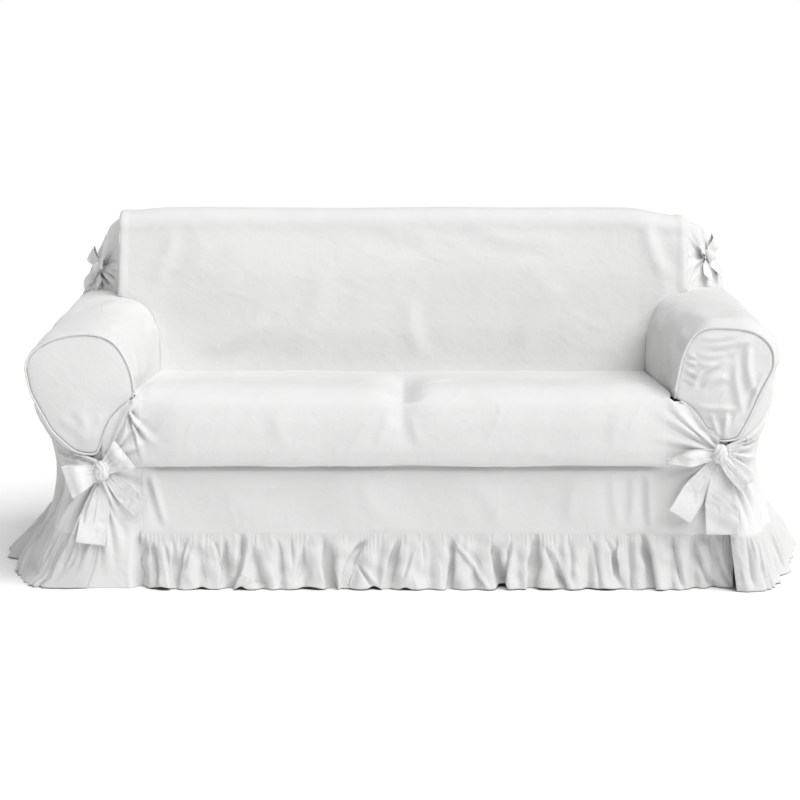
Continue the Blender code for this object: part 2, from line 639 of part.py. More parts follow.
def front_ruffle():
    """The gathered strip under the apron, swinging out from the seam to the hem."""
    left = -HALF_SEAT + 0.0014
    z, x = grid_of((RUFFLE_Z - SEAM_GAP, 0.092, 0.046, HEM_Z), np.linspace(left, FRONT_RUFFLE_END, 109))
    drop = (RUFFLE_Z - z) / RUFFLE_Z
    y = APRON_Y - 0.010 * ease((x - 0.60) / 0.10) - RUFFLE_SWING * drop**0.9
    for seam_x, hem_x, depth, half in FRONT_FOLDS:
        middle = seam_x + (hem_x - seam_x) * drop
        y = y + depth * (0.25 + drop) / 1.25 * np.exp(-(((x - middle) / half) ** 2))
    behind_flap = ease((x - 0.66) / 0.06)
    y = y + (0.017 * drop) * behind_flap
    raised = 0.005 * (1 + np.sin(61.0 * x + 2.0 * np.sin(17.0 * x))) * ease((drop - 0.6) / 0.4)
    points = stacked(x, y, z + raised * (1 - behind_flap) * 0.8)
    return cloth_piece("front_ruffle", [points], (0.84, 0.84, 0.84), (0, -1, 0))


# ---- the bows ----
def bow_frame(place):
    """Where the bow is tied, three unit vectors across, up and out, and its size."""
    origin, out, size, _ = BOWS[place]
    out = np.array(out) / np.linalg.norm(out)
    across = np.cross(out, (0, 0, 1.0))
    across = -across / np.linalg.norm(across)
    up = np.cross(out, across)
    if up[2] < 0:
        up = -up
    return np.array(origin), across, up, out, size


def ribbon(place, path, half, width_way):
    """A strip along path, given as (across, up, out) from the knot, and half wide to each side of it."""
    origin, across, up, out, size = bow_frame(place)
    axes = np.array((across, up, out))
    sides = np.array((-1.0, 0.0, 1.0))
    local = path[:, None, :] + width_way[:, None, :] * (half[:, None] * sides)[..., None]
    return origin + local @ axes * size


def across_line(direction):
    """Unit vector along direction in the bow's plane, and the one square to it."""
    way = np.array(direction) / np.linalg.norm(direction)
    return way, np.array((-way[1], way[0]))


def bow_loops(place):
    """Both loops in one strip: out to a rounded end and back, and again on the other side of the knot."""
    paths, halves, ways = [], [], []
    for (dx, dz, end_half), (first, last) in zip(BOW_LOOPS[place], LOOP_LAYERS):
        way, square = across_line((dx, dz))
        length = np.hypot(dx, dz)
        turn = np.linspace(0, 2 * np.pi, 15)
        along = length * (1 - np.cos(turn)) / 2
        open_part = ease((along - LOOP_OPENS) / (0.5 * length))
        share = turn / (2 * np.pi)
        out = first + (last - first) * share + LOOP_DEPTH * open_part * (1 - np.sin(turn))
        flip = 1 if not paths else -1
        paths.append(np.column_stack([way[0] * along, way[1] * along, out]))
        halves.append(PINCH + (end_half - PINCH) * ease(along / length * 1.15))
        ways.append(np.tile((square[0] * flip, square[1] * flip, 0.0), (len(turn), 1)))
    turned = np.sign((ways[0][-1] * ways[1][0]).sum()) or 1.0
    path = np.concatenate([paths[0][:-1], paths[1]])
    half = np.concatenate([halves[0][:-1], halves[1]])
    way = np.concatenate([ways[0][:-1], ways[1] * turned])
    points = ribbon(place, path, half, way)
    return cloth_piece(f"bow_{place}_loops", [points], (0.88, 0.88, 0.88), (0, -1, 0), RIBBON)


def bow_tails(place):
    """Both hanging ends in one strip, which runs behind the loops."""
    (ax, az, a_half, a_out), (bx, bz, b_half, b_out) = BOW_TAILS[place]
    share = np.linspace(0, 1, 7)
    way_a, square_a = across_line((ax, az))
    way_b, square_b = across_line((bx, bz))
    if square_a @ -square_b < 0:
        square_b = -square_b
    lift_a = TAIL_LIFT + (a_out - TAIL_LIFT) * np.maximum(share - TAIL_FLAT, 0.0)
    lift_b = TAIL_LIFT + (b_out - TAIL_LIFT) * np.maximum(share - TAIL_FLAT, 0.0)
    path_a = np.column_stack([ax * share, az * share, lift_a])[::-1]
    path_b = np.column_stack([bx * share, bz * share, lift_b])[1:]
    half_a = (PINCH + (a_half - PINCH) * ease(share * 1.5))[::-1]
    half_b = (PINCH + (b_half - PINCH) * ease(share * 1.5))[1:]
    turn = ease(np.linspace(-1.2, 1.2, 13) / 2 + 0.5)[:, None]
    square = (1 - turn) * square_a + turn * -square_b
    square = square / np.maximum(np.linalg.norm(square, axis=1, keepdims=True), 0.2)
    way = np.column_stack([square, np.zeros(13)])
    path = np.concatenate([path_a, path_b])
    points = ribbon(place, path, np.concatenate([half_a, half_b]), way)
    return cloth_piece(f"bow_{place}_tails", [points], (0.87, 0.87, 0.87), (0, -1, 0), RIBBON)


def bow_knot(place):
    """The tied middle: a small rounded lump of ribbon in front of the loops, flat where it lies on them."""
    origin, across, up, out, size = bow_frame(place)
    turn, height = grid_of(np.linspace(0, 2 * np.pi, 13), np.array((0.0, 0.25, 0.6, 0.85, 1.0)))
    ring = np.sqrt(np.clip(1 - height**2, 0, 1))
    a = KNOT_HALF[0] * ring * np.cos(turn)
    b = KNOT_HALF[1] * ring * np.sin(turn)
    c = BOWS[place][3] + KNOT_HALF[2] * height
    local = np.stack([a, b, c], axis=-1)
    points = origin + local @ np.array((across, up, out)) * size
    number = np.arange(12 * 4).reshape(12, 4)
    vertices = [tuple(points[i, j]) for i in range(12) for j in range(4)] + [tuple(points[0, 4])]
    faces = [[number[i, 0] for i in reversed(range(12))]]
    for i in range(12):
        after = (i + 1) % 12
        for j in range(3):
            faces.append([number[i, j], number[after, j], number[after, j + 1], number[i, j + 1]])
        faces.append([number[i, 3], number[after, 3], len(vertices) - 1])
    mesh = bpy.data.meshes.new(f"bow_{place}_knot")
    mesh.from_pydata(vertices, [], [[int(n) for n in face] for face in faces])
    mesh.shade_smooth()
    mesh.materials.append(cotton(f"bow_{place}_knot_cotton", (0.86, 0.86, 0.86)))
    knot = bpy.data.objects.new(f"bow_{place}_knot", mesh)
    bpy.context.scene.collection.objects.link(knot)
    return knot


# ---- the whole cover ----
for old in list(bpy.data.objects):
    bpy.data.objects.remove(old, do_unlink=True)

inside_back()
outside_back()
seat_cover()
front_apron()
front_ruffle()
for hand in ("left", "right"):
    arm_cover(hand)
    arm_face(hand)
    arm_front(hand)
    side_skirt(hand)
    side_ruffle(hand)
    back_wing(hand)
for corner in BOWS:
    bow_loops(corner)
    bow_tails(corner)
    bow_knot(corner)
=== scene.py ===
"""Fitted white cotton cover of a small sofa with rolled arms, on a pale studio floor.

Metres, +X to the right as seen from the front, +Y to the back, +Z up. Every sheet is a grid of points worked
out from two parameters, on the folds of its solid, with finer folds, gathers and seams pushed out of it.
"""

import bmesh
import bpy
import numpy as np
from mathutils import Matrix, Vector


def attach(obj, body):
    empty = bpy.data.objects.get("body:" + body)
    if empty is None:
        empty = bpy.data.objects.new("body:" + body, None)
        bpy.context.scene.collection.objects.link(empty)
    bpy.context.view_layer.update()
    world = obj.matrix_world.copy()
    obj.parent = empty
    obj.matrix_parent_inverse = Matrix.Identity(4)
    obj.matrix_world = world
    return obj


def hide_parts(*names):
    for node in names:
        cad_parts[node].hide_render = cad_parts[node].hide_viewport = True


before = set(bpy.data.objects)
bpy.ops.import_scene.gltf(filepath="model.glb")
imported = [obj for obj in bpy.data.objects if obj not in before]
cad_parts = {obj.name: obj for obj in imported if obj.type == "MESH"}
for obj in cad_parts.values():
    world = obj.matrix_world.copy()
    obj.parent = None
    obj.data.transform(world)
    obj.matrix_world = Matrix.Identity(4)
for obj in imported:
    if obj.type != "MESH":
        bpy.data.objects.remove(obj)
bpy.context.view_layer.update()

# -----------------------------------------------------------------------------
# Inside back: one cloth from the seat up the front of the back and over its top, between the two wings.
# Washed white cotton, sewn to the wings along a flat turned-over edge.
# -----------------------------------------------------------------------------
SHEET = 0.0016  # thickness of a layer of cloth
HALF_SEAT = 0.6200  # from the middle to the seams at the seat's ends
SEAT_Z = 0.4556  # where the seat meets the back and the arms
BACK_Y = 0.455  # plane of the outside back
BACK_FOOT_Y = 0.130  # where the inside back meets the seat
BACK_LEAN = 0.266  # how far the inside back leans away for each metre of height
LEAN_TOP_Z = 0.81  # where its leaning plane ends
BACK_SWELL = 0.014  # how far its padding swells forward
TURNED_EDGE = 0.021  # width of the edges that are turned over at its ends
EDGE_STITCH = 0.0235  # how far their stitches lie from the ends
CORNER_DROPS = (0.008, 0.020)  # how far its top corners sink, left and right
DROP_X = 0.60  # from the middle out to where they start to sink
DROP_Z = 0.76  # height at which they start to sink
WING_X = 0.7475  # seams between the inside back and its wings
FACE_Y = -0.425  # plane of the arm faces
ARM_SEAM_Z = 0.5305  # seam at the arm's widest point
ARM_END_Y = 0.17  # where the back crosses the arms' crests
CREST_ROW = 4  # of the rows below, at the roll's crest
LAST_ROW = 7  # at its seam
BACK_TOP_ROWS = (
    # y, z
    (0.2320, 0.8450),
    (0.2550, 0.8660),
    (0.3000, 0.8730),
    (0.3550, 0.8710),
    (0.4100, 0.8640),
    (0.4400, 0.8540),
    (0.4530, 0.8420),
)
# the arm roll in section: x_front, z_front, x_back, z_back
ARM_ROWS = {
    "left": (
        (0.634, 0.4556, 0.632, 0.4556),
        (0.636, 0.4980, 0.632, 0.5000),
        (0.652, 0.5480, 0.638, 0.5720),
        (0.686, 0.5940, 0.668, 0.6340),
        (0.7455, 0.6130, 0.7455, 0.6600),
        (0.825, 0.6000, 0.846, 0.6500),
        (0.878, 0.5660, 0.892, 0.6080),
        (0.8945, 0.5305, 0.900, 0.5305),
    ),
    "right": (
        (0.640, 0.4556, 0.632, 0.4556),
        (0.648, 0.5000, 0.632, 0.5020),
        (0.660, 0.5560, 0.638, 0.5750),
        (0.690, 0.6160, 0.668, 0.6360),
        (0.7455, 0.6430, 0.7455, 0.6620),
        (0.835, 0.6320, 0.858, 0.6540),
        (0.886, 0.5880, 0.912, 0.6060),
        (0.896, 0.5305, 0.910, 0.5305),
    ),
}
ARM_MIDDLE = (0.765, 0.500)  # middle of the roll's section: x, z
FACE_DRAWN_IN = {"left": 0.004, "right": 0.020}  # how far the faces' piping draws in the front of the roll
# folds drawn as lines: x and z of the start, x and z of the end, how far it bows aside, half width, height
BACK_FOLDS = (
    (-0.66, 0.66, -0.60, 0.84, 0.010, 0.020, 0.0040),
    (-0.54, 0.50, -0.34, 0.60, 0.012, 0.024, 0.0040),
    (-0.30, 0.49, -0.20, 0.74, 0.020, 0.030, 0.0035),
    (0.05, 0.48, 0.02, 0.66, -0.012, 0.022, 0.0035),
    (0.16, 0.82, 0.42, 0.79, 0.012, 0.020, 0.0028),
    (0.30, 0.50, 0.44, 0.70, -0.020, 0.028, 0.0040),
    (0.70, 0.68, 0.64, 0.86, -0.014, 0.018, 0.0050),
    (0.60, 0.50, 0.70, 0.70, 0.016, 0.018, 0.0050),
    (-0.10, 0.84, 0.10, 0.80, 0.010, 0.020, 0.0024),
)


def ease(at):
    """0 up to 0, 1 from 1 on, and the smooth cubic between them."""
    at = np.clip(at, 0.0, 1.0)
    return at * at * (3 - 2 * at)


def even_curve(knots, count):
    """Points spaced evenly along a smooth curve through the knots."""
    along = run_of(knots, 0)
    return curve_shares(np.linspace(0, along[-1], count), along) @ knots


def curve_shares(at, knots):
    """Weights of a cubic curve through all its knots: two end values and two mean slopes for each span."""
    at = np.asarray(at, float)
    knots = np.asarray(knots, float)
    values = np.eye(len(knots))
    slopes = np.gradient(values, knots, axis=0)
    i = np.clip(np.searchsorted(knots, at, side="right") - 1, 0, len(knots) - 2)
    step = (knots[i + 1] - knots[i])[..., None]
    f = np.clip((at - knots[i]) / step[..., 0], 0.0, 1.0)[..., None]
    start = (1 + 2 * f) * (1 - f) ** 2 * values[i] + f * (1 - f) ** 2 * step * slopes[i]
    end = f**2 * (3 - 2 * f) * values[i + 1] + f**2 * (f - 1) * step * slopes[i + 1]
    return start + end


def grid_of(rows, columns):
    """Every pair of a row's and a column's value."""
    return np.meshgrid(rows, columns, indexing="ij")


def stacked(x, y, z):
    """Three arrays as one grid of points."""
    return np.stack(np.broadcast_arrays(x, y, z), axis=-1)


def run_of(grid, axis):
    """How far each point lies from the grid's first row (axis 0) or column (axis 1), along the cloth."""
    step = np.linalg.norm(np.diff(grid, axis=axis), axis=-1)
    start = np.zeros_like(np.take(step, [0], axis=axis))
    return np.concatenate([start, np.cumsum(step, axis=axis)], axis=axis)


def to_borders(grid):
    """Distances from the first row, last row, first column and last column, along the cloth."""
    down, along = run_of(grid, 0), run_of(grid, 1)
    return down, down[-1:] - down, along, along[:, -1:] - along


def unevenness(points, size, seed):
    """A smooth uneven field of about -1 to 1: seven sine waves, about size long, in scattered directions."""
    rng = np.random.default_rng(seed)
    total = 0.0
    for _ in range(7):
        way = rng.normal(size=3)
        way = way / np.linalg.norm(way) * 2 * np.pi / (size * rng.uniform(0.7, 1.6))
        total = total + np.sin(points @ way + rng.uniform(0, 2 * np.pi))
    return total / 3.2


def crumple(points, size, seed):
    """Narrow meandering creases: 1 where an uneven field crosses zero, in patches of a broader field."""
    lines = np.abs(unevenness(points, size, seed))
    patch = ease(unevenness(points, size * 2.6, seed + 1) + 0.6)
    return (1 - ease(lines / 0.4)) * patch


def fold_lines(a, b, rows, fan=False):
    """Heights of soft folds: a bell across each line, a fainter trough beside it, fading towards its ends.

    A fan's folds start narrow and high where they are gathered and widen and sink along their line, with a
    narrow crease on their other side."""
    total = np.zeros(np.broadcast(a, b).shape)
    for a0, b0, a1, b1, bowed, half, height in rows:
        length = np.hypot(a1 - a0, b1 - b0)
        t = ((a - a0) * (a1 - a0) + (b - b0) * (b1 - b0)) / length**2
        aside = ((a - a0) * (b1 - b0) - (b - b0) * (a1 - a0)) / length - bowed * 4 * t * (1 - t)
        if fan:
            wide = half * (0.45 + 0.9 * np.clip(t, 0, 1))
            strength = ease(t / 0.07) * (1 - ease((t - 0.30) / 0.70))
        else:
            wide = half
            strength = ease(t / 0.30) * ease((1 - t) / 0.30)
        ridge = np.exp(-((aside / wide) ** 2)) - 0.55 * np.exp(-(((aside - 1.9 * wide) / (1.2 * wide)) ** 2))
        if fan:
            ridge -= 0.70 * np.exp(-(((aside + 1.4 * wide) / (0.5 * wide)) ** 2))
        total += height * strength * ridge
    return total


def normals_of(grid, facing):
    """Unit normals from the cross product of the row and column directions, turned to the facing side."""
    across = np.cross(np.gradient(grid, axis=0), np.gradient(grid, axis=1))
    across /= np.maximum(np.linalg.norm(across, axis=-1, keepdims=True), 1e-12)
    return across if (across @ np.array(facing)).sum() > 0 else -across


def pushed(grid, height, facing):
    """The grid with each point moved out along its normal by height."""
    return grid + normals_of(grid, facing) * height[..., None]


def seam(distance, width=0.004, depth=0.0018):
    """Cloth drawn in towards a seam: a bell of that width and depth at distance 0."""
    return -depth * np.exp(-((distance / width) ** 2))


def inside_back_y(z):
    """The front side of the back, a leaning plane."""
    return BACK_FOOT_Y + (z - SEAT_Z) * BACK_LEAN


def arm_section(side, y, rows):
    """Points (x, z) of the arm roll at depth y: rows is a place along ARM_ROWS, from 0 to LAST_ROW.

    Two cubic curves through the table's front and rear points, a straight blend between them along y, and
    near the face a step in towards the roll's middle, on its outer side."""
    table = np.array(ARM_ROWS[side])
    share = curve_shares(rows, np.arange(len(table)))
    front, back = share @ table[:, :2], share @ table[:, 2:]
    points = front + (back - front) * ((y - FACE_Y) / (BACK_Y - FACE_Y))[..., None]
    drawn = FACE_DRAWN_IN[side] * (1 - ease((y - FACE_Y) / 0.06))
    away = points - np.array(ARM_MIDDLE)
    outer = ease((points[..., :1] - 0.66) / 0.10)
    points = points - away / np.linalg.norm(away, axis=-1, keepdims=True) * drawn[..., None] * outer
    points[..., 1] = np.maximum(points[..., 1], np.where(rows > LAST_ROW - 0.1, ARM_SEAM_Z, 0.0))
    return points


def top_drop(x, z):
    """How far the back's rounded corners lie below its top, eased along its width and its height."""
    return np.where(x < 0, *CORNER_DROPS) * ease((np.abs(x) - DROP_X) / 0.145) * ease((z - DROP_Z) / 0.09)


def new_node(tree, kind, **settings):
    """A new node with its settings."""
    node = tree.nodes.new(kind)
    for key, value in settings.items():
        setattr(node, key, value)
    return node


def maths(tree, operation, first, second=0.0):
    """A Math node on sockets or numbers."""
    node = new_node(tree, "ShaderNodeMath", operation=operation)
    for socket, value in zip(node.inputs, (first, second)):
        if isinstance(value, (int, float)):
            socket.default_value = value
        else:
            tree.links.new(value, socket)
    return node.outputs[0]


THREAD_PAIR = 0.0012  # width of two threads of the weave
STITCH = 0.0034  # from stitch to stitch
STITCH_HALF = 0.0008  # half the width of their row


def cotton(name, tone, stitches=()):
    """Washed white cotton with a plain weave on the UV map, which is in metres.

    Height: sine by sine for the threads, two stretched noises for slubs, two soft noises for creases, and
    short bars for the rows of stitches at those distances along V. Colour: tone, a little greyer in broad
    patches and in the slubs. Rough, with a soft sheen."""
    material = bpy.data.materials.new(name)
    material.use_nodes = True
    tree = material.node_tree
    shader = tree.nodes["Principled BSDF"]
    links = tree.links
    uv = new_node(tree, "ShaderNodeUVMap", uv_map="metres").outputs[0]
    place = new_node(tree, "ShaderNodeTexCoord").outputs["Object"]
    split = new_node(tree, "ShaderNodeSeparateXYZ")
    links.new(uv, split.inputs[0])
    across, down = split.outputs[0], split.outputs[1]
    turns = 2 * np.pi / THREAD_PAIR
    weave = maths(tree, "MULTIPLY", maths(tree, "SINE", maths(tree, "MULTIPLY", across, turns)),
                  maths(tree, "SINE", maths(tree, "MULTIPLY", down, turns)))
    slubs = []
    for scale in ((45.0, 1300.0, 1.0), (1300.0, 45.0, 1.0)):
        mapping = new_node(tree, "ShaderNodeMapping")
        mapping.inputs["Scale"].default_value = scale
        links.new(uv, mapping.inputs[0])
        noise = new_node(tree, "ShaderNodeTexNoise")
        noise.inputs["Scale"].default_value = 1.0
        noise.inputs["Detail"].default_value = 2.0
        links.new(mapping.outputs[0], noise.inputs["Vector"])
        slubs.append(noise.outputs["Fac"])
    slub = maths(tree, "ADD", slubs[0], slubs[1])
    fine = maths(tree, "ADD", maths(tree, "MULTIPLY", weave, 0.25), slub)
    for distance in stitches:
        beside = maths(tree, "ABSOLUTE", maths(tree, "SUBTRACT", down, distance))
        passed = maths(tree, "FRACT", maths(tree, "DIVIDE", across, STITCH))
        bars = maths(tree, "MULTIPLY", maths(tree, "LESS_THAN", beside, STITCH_HALF),
                     maths(tree, "LESS_THAN", passed, 0.72))
        fine = maths(tree, "ADD", fine, maths(tree, "MULTIPLY", bars, 2.2))
    soft = []
    for scale, detail, seed in ((34.0, 3.0, 0.0), (9.0, 2.0, 7.3)):
        noise = new_node(tree, "ShaderNodeTexNoise", noise_dimensions="4D")
        noise.inputs["Scale"].default_value = scale
        noise.inputs["Detail"].default_value = detail
        noise.inputs["Distortion"].default_value = 0.8
        noise.inputs["W"].default_value = seed
        links.new(place, noise.inputs["Vector"])
        soft.append(noise.outputs["Fac"])
    crinkle = new_node(tree, "ShaderNodeBump")
    crinkle.inputs["Strength"].default_value = 0.22
    crinkle.inputs["Distance"].default_value = 0.006
    links.new(maths(tree, "ADD", soft[0], maths(tree, "MULTIPLY", soft[1], 1.6)), crinkle.inputs["Height"])
    threads = new_node(tree, "ShaderNodeBump")
    threads.inputs["Strength"].default_value = 0.35
    threads.inputs["Distance"].default_value = 0.0003
    links.new(fine, threads.inputs["Height"])
    links.new(crinkle.outputs[0], threads.inputs["Normal"])
    links.new(threads.outputs[0], shader.inputs["Normal"])
    colours = new_node(tree, "ShaderNodeMix", data_type="RGBA")
    colours.inputs[6].default_value = (*(channel * 0.93 for channel in tone), 1.0)
    colours.inputs[7].default_value = (*tone, 1.0)
    spread = maths(tree, "ADD", maths(tree, "MULTIPLY", soft[1], 0.9), maths(tree, "MULTIPLY", slub, 0.3))
    links.new(spread, colours.inputs["Factor"])
    links.new(colours.outputs[2], shader.inputs["Base Color"])
    shader.inputs["Roughness"].default_value = 0.88
    shader.inputs["Specular IOR Level"].default_value = 0.25
    shader.inputs["Sheen Weight"].default_value = 0.15
    shader.inputs["Sheen Roughness"].default_value = 0.5
    return material


PANEL_TONE = (0.712, 0.712, 0.707)
panel_cotton = cotton("panel_cotton", PANEL_TONE)


def sewn_piece(name, points, faces, lengths, material):
    """A smooth object that rides on the root, with the lengths along its cloth in metres as its UV map."""
    mesh = bpy.data.meshes.new(name)
    mesh.from_pydata(points.tolist(), [], faces)
    layer = mesh.uv_layers.new(name="metres")
    corners = np.empty(len(mesh.loops), np.int32)
    mesh.loops.foreach_get("vertex_index", corners)
    layer.data.foreach_set("uv", lengths[corners].astype(np.float32).reshape(-1))
    mesh.shade_smooth()
    mesh.materials.append(material)
    piece = bpy.data.objects.new(name, mesh)
    bpy.context.scene.collection.objects.link(piece)
    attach(piece, "root")
    return piece


def cloth_mesh(name, grid, facing, material, closed=False):
    """The grid's quads looking to the facing side, and a UV map of the lengths along its rows and columns.

    A closed grid meets itself along a line or in a point, where its doubled points are merged."""
    rows, columns = grid.shape[:2]
    number = np.arange(rows * columns).reshape(rows, columns)
    faces = np.stack([number[:-1, :-1], number[1:, :-1], number[1:, 1:], number[:-1, 1:]], axis=-1)
    faces = faces.reshape(-1, 4)
    points = grid.reshape(-1, 3)
    diagonals = points[faces[:, 2:]] - points[faces[:, :2]]
    if (np.cross(diagonals[:, 0], diagonals[:, 1]) @ np.array(facing)).sum() < 0:
        faces = faces[:, ::-1]
    lengths = np.stack([run_of(grid, 1), run_of(grid, 0)], axis=-1).reshape(-1, 2)
    piece = sewn_piece(name, points, faces.tolist(), lengths, material)
    if closed:
        shell = bmesh.new()
        shell.from_mesh(piece.data)
        bmesh.ops.remove_doubles(shell, verts=shell.verts, dist=0.00002)
        shell.to_mesh(piece.data)
        shell.free()
    return piece


def lay_cloth(node, grid, facing, material, thick=SHEET,
              closed=False):
    """One sheet of cloth in place of a solid: the grid as its outer face, and a wall inward."""
    piece = cloth_mesh(f"{node}_cloth", grid, facing, material, closed)
    wall = piece.modifiers.new("wall", "SOLIDIFY")
    wall.thickness = thick
    wall.offset = -1.0
    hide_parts(node)
    return piece


def crest_z(side):
    """Height of the arm roll's crest where the back crosses it."""
    return arm_section(side, np.array([ARM_END_Y]), np.array([float(CREST_ROW)]))[0, 1]


front_z = np.linspace(SEAT_Z - 0.012, LEAN_TOP_Z, 8)
back_profile = even_curve(np.array([(inside_back_y(z), z) for z in front_z] + list(BACK_TOP_ROWS)), 100)
back_half = {}
for side in ARM_ROWS:
    section = arm_section(side, np.full(60, ARM_END_Y), np.linspace(0, CREST_ROW, 60))
    beside_arm = np.interp(back_profile[:, 1], section[:, 1], section[:, 0] + 0.004)
    back_half[side] = np.where(back_profile[:, 1] >= crest_z(side), WING_X - 0.0006, beside_arm)
row, u = grid_of(np.arange(len(back_profile)), np.linspace(-1, 1, 200))
x = np.where(u < 0, back_half["left"][row], back_half["right"][row]) * u
y, z = back_profile[row, 0], back_profile[row, 1]
z = z - top_drop(x, z)
padded = np.clip(1 - (x / HALF_SEAT) ** 4, 0, 1) * ease((z - SEAT_Z) / 0.12)
padded *= ease((BACK_TOP_ROWS[0][1] - z) / 0.15)
back_grid = stacked(x, y - BACK_SWELL * padded, z)
_, to_rear, to_left, to_right = to_borders(back_grid)
to_side = np.minimum(to_left, to_right)
height = fold_lines(x, z, BACK_FOLDS) * ease((0.40 - y) / 0.08)
height += 0.0007 * crumple(back_grid, 0.13, 11) + 0.0024 * unevenness(back_grid, 0.34, 12)
height += 0.0022 * ease((z - crest_z("left")) / 0.02) * (1 - ease((to_side - TURNED_EDGE) / 0.003))
height += seam(to_side - EDGE_STITCH, 0.002, 0.0012) + seam(to_rear) + seam(to_side, 0.003, 0.002)
back_grid = pushed(back_grid, height, (0, -1, 0.6))
lay_cloth("inside_back", back_grid, (0, -1, 0.6), panel_cotton)

# -----------------------------------------------------------------------------
# Back wings: the two ends of the back, hanging from its front edge and swinging out over the arms to the
# outside back. The same cotton, loose, drawn together where the rear ties hold it.
# -----------------------------------------------------------------------------
BACK_IN = 0.4525  # inner side of the outside back, which they reach
WING_FOOT_Z = 0.65  # about where the wings meet the arms
WING_ROWS = (
    # z, how far the rear edge stands out at the left and the right
    (0.860, 0.022, 0.050),
    (0.830, 0.040, 0.068),
    (0.790, 0.064, 0.085),
    (0.740, 0.090, 0.108),
    (0.700, 0.106, 0.124),
    (0.640, 0.126, 0.138),
)
# fans of folds from the rear ties, on the wing seen from its side: y, z, y, z, bowed, half width, height
WING_FOLDS = {
    "left": (
        (0.350, 0.712, 0.262, 0.810, 0.006, 0.009, 0.0055),
        (0.350, 0.712, 0.300, 0.838, 0.004, 0.009, 0.0050),
        (0.350, 0.712, 0.352, 0.846, -0.004, 0.010, 0.0055),
        (0.350, 0.712, 0.420, 0.820, -0.006, 0.009, 0.0060),
        (0.350, 0.705, 0.230, 0.722, 0.004, 0.009, 0.0085),
        (0.350, 0.702, 0.228, 0.690, 0.006, 0.007, 0.0090),
        (0.350, 0.700, 0.245, 0.660, 0.004, 0.008, 0.0100),
        (0.350, 0.698, 0.290, 0.640, 0.003, 0.007, 0.0085),
        (0.350, 0.698, 0.360, 0.636, 0.002, 0.007, 0.0070),
        (0.350, 0.700, 0.430, 0.660, 0.004, 0.008, 0.0065),
    ),
    "right": (
        (0.350, 0.742, 0.270, 0.820, 0.006, 0.010, 0.0060),
        (0.350, 0.742, 0.330, 0.846, 0.004, 0.009, 0.0060),
        (0.350, 0.742, 0.410, 0.835, -0.006, 0.010, 0.0065),
        (0.350, 0.735, 0.250, 0.700, 0.006, 0.010, 0.0055),
        (0.350, 0.730, 0.300, 0.660, 0.004, 0.009, 0.0055),
        (0.350, 0.730, 0.400, 0.665, 0.004, 0.009, 0.0055),
    ),
}


def mirrored(side, x):
    """Distances from the middle lie at negative x on the left side."""
    return -x if side == "left" else x


def outward(side):
    """The way that side of the cover looks."""
    return (-1.0, 0.0, 0.0) if side == "left" else (1.0, 0.0, 0.0)


def wing_flare(side, z, z_top):
    """How far the wing's rear edge stands out from its front edge: straight between rows, shut at its top."""
    table = np.array(WING_ROWS)
    column = 1 if side == "left" else 2
    return np.interp(-z, -table[:, 0], table[:, column]) * ease((z_top - z) / 0.030)


def arm_top_z(side, x, y):
    """Height of the arm roll beyond its crest, read from its section at each depth."""
    rows = np.linspace(CREST_ROW, LAST_ROW, 60)
    found = np.empty(x.shape)
    for i in range(x.shape[1]):
        section = arm_section(side, np.full(60, y[:, i].mean()), rows)
        found[:, i] = np.interp(x[:, i], section[:, 0], section[:, 1])
    return found


for side in ARM_ROWS:
    v, u = grid_of(np.linspace(0, 1, 70), np.linspace(0, 1, 80))
    top = np.array(BACK_TOP_ROWS)
    y_front = inside_back_y(crest_z(side) + (top[0, 1] - crest_z(side)) * v)
    y = y_front + (BACK_IN + 0.001 - y_front) * u
    z_top = np.interp(y, top[:, 0], top[:, 1]) - 0.0004
    z_top = z_top - top_drop(mirrored(side, WING_X), z_top)
    out = ease((u - 0.05) / 0.95)
    x_low = WING_X + wing_flare(side, WING_FOOT_Z, BACK_TOP_ROWS[0][1]) * out
    z_low = arm_top_z(side, x_low, y) - 0.001
    z = z_low + (z_top - z_low) * v
    x = WING_X + wing_flare(side, z, z_top) * out
    wing_grid = stacked(mirrored(side, x), y, z)
    to_foot, to_top, to_front, to_rear = to_borders(wing_grid)
    height = fold_lines(y, z, WING_FOLDS[side], fan=True) * ease(to_foot / 0.03)
    height += 0.0024 * crumple(wing_grid, 0.06, 21) + 0.0014 * unevenness(wing_grid, 0.16, 22)
    height *= ease(to_front / 0.02) * ease(to_rear / 0.02)
    height += seam(to_front) + seam(to_rear) + seam(to_top, 0.004, 0.001)
    wing_grid = pushed(wing_grid, height, outward(side))
    lay_cloth(f"back_wing_{side}", wing_grid, outward(side), panel_cotton)

# -----------------------------------------------------------------------------
# Outside back: one plain panel of the same cotton from the top edge of the back down to the floor, sewn on
# along its top and sides. It is hemmed at its foot and falls in a few broad folds.
# -----------------------------------------------------------------------------
BACK_FLARE = 0.027  # how far the panel swings out at the floor
FLARE_Z = 0.40  # where it starts to
HEM_STITCH = 0.0235  # how far a hem's stitches lie from its edge
REAR_WAVES = ((0.013, 9.4, 0.6), (0.009, 21.0, 1.9))  # depth, turns across the panel, start
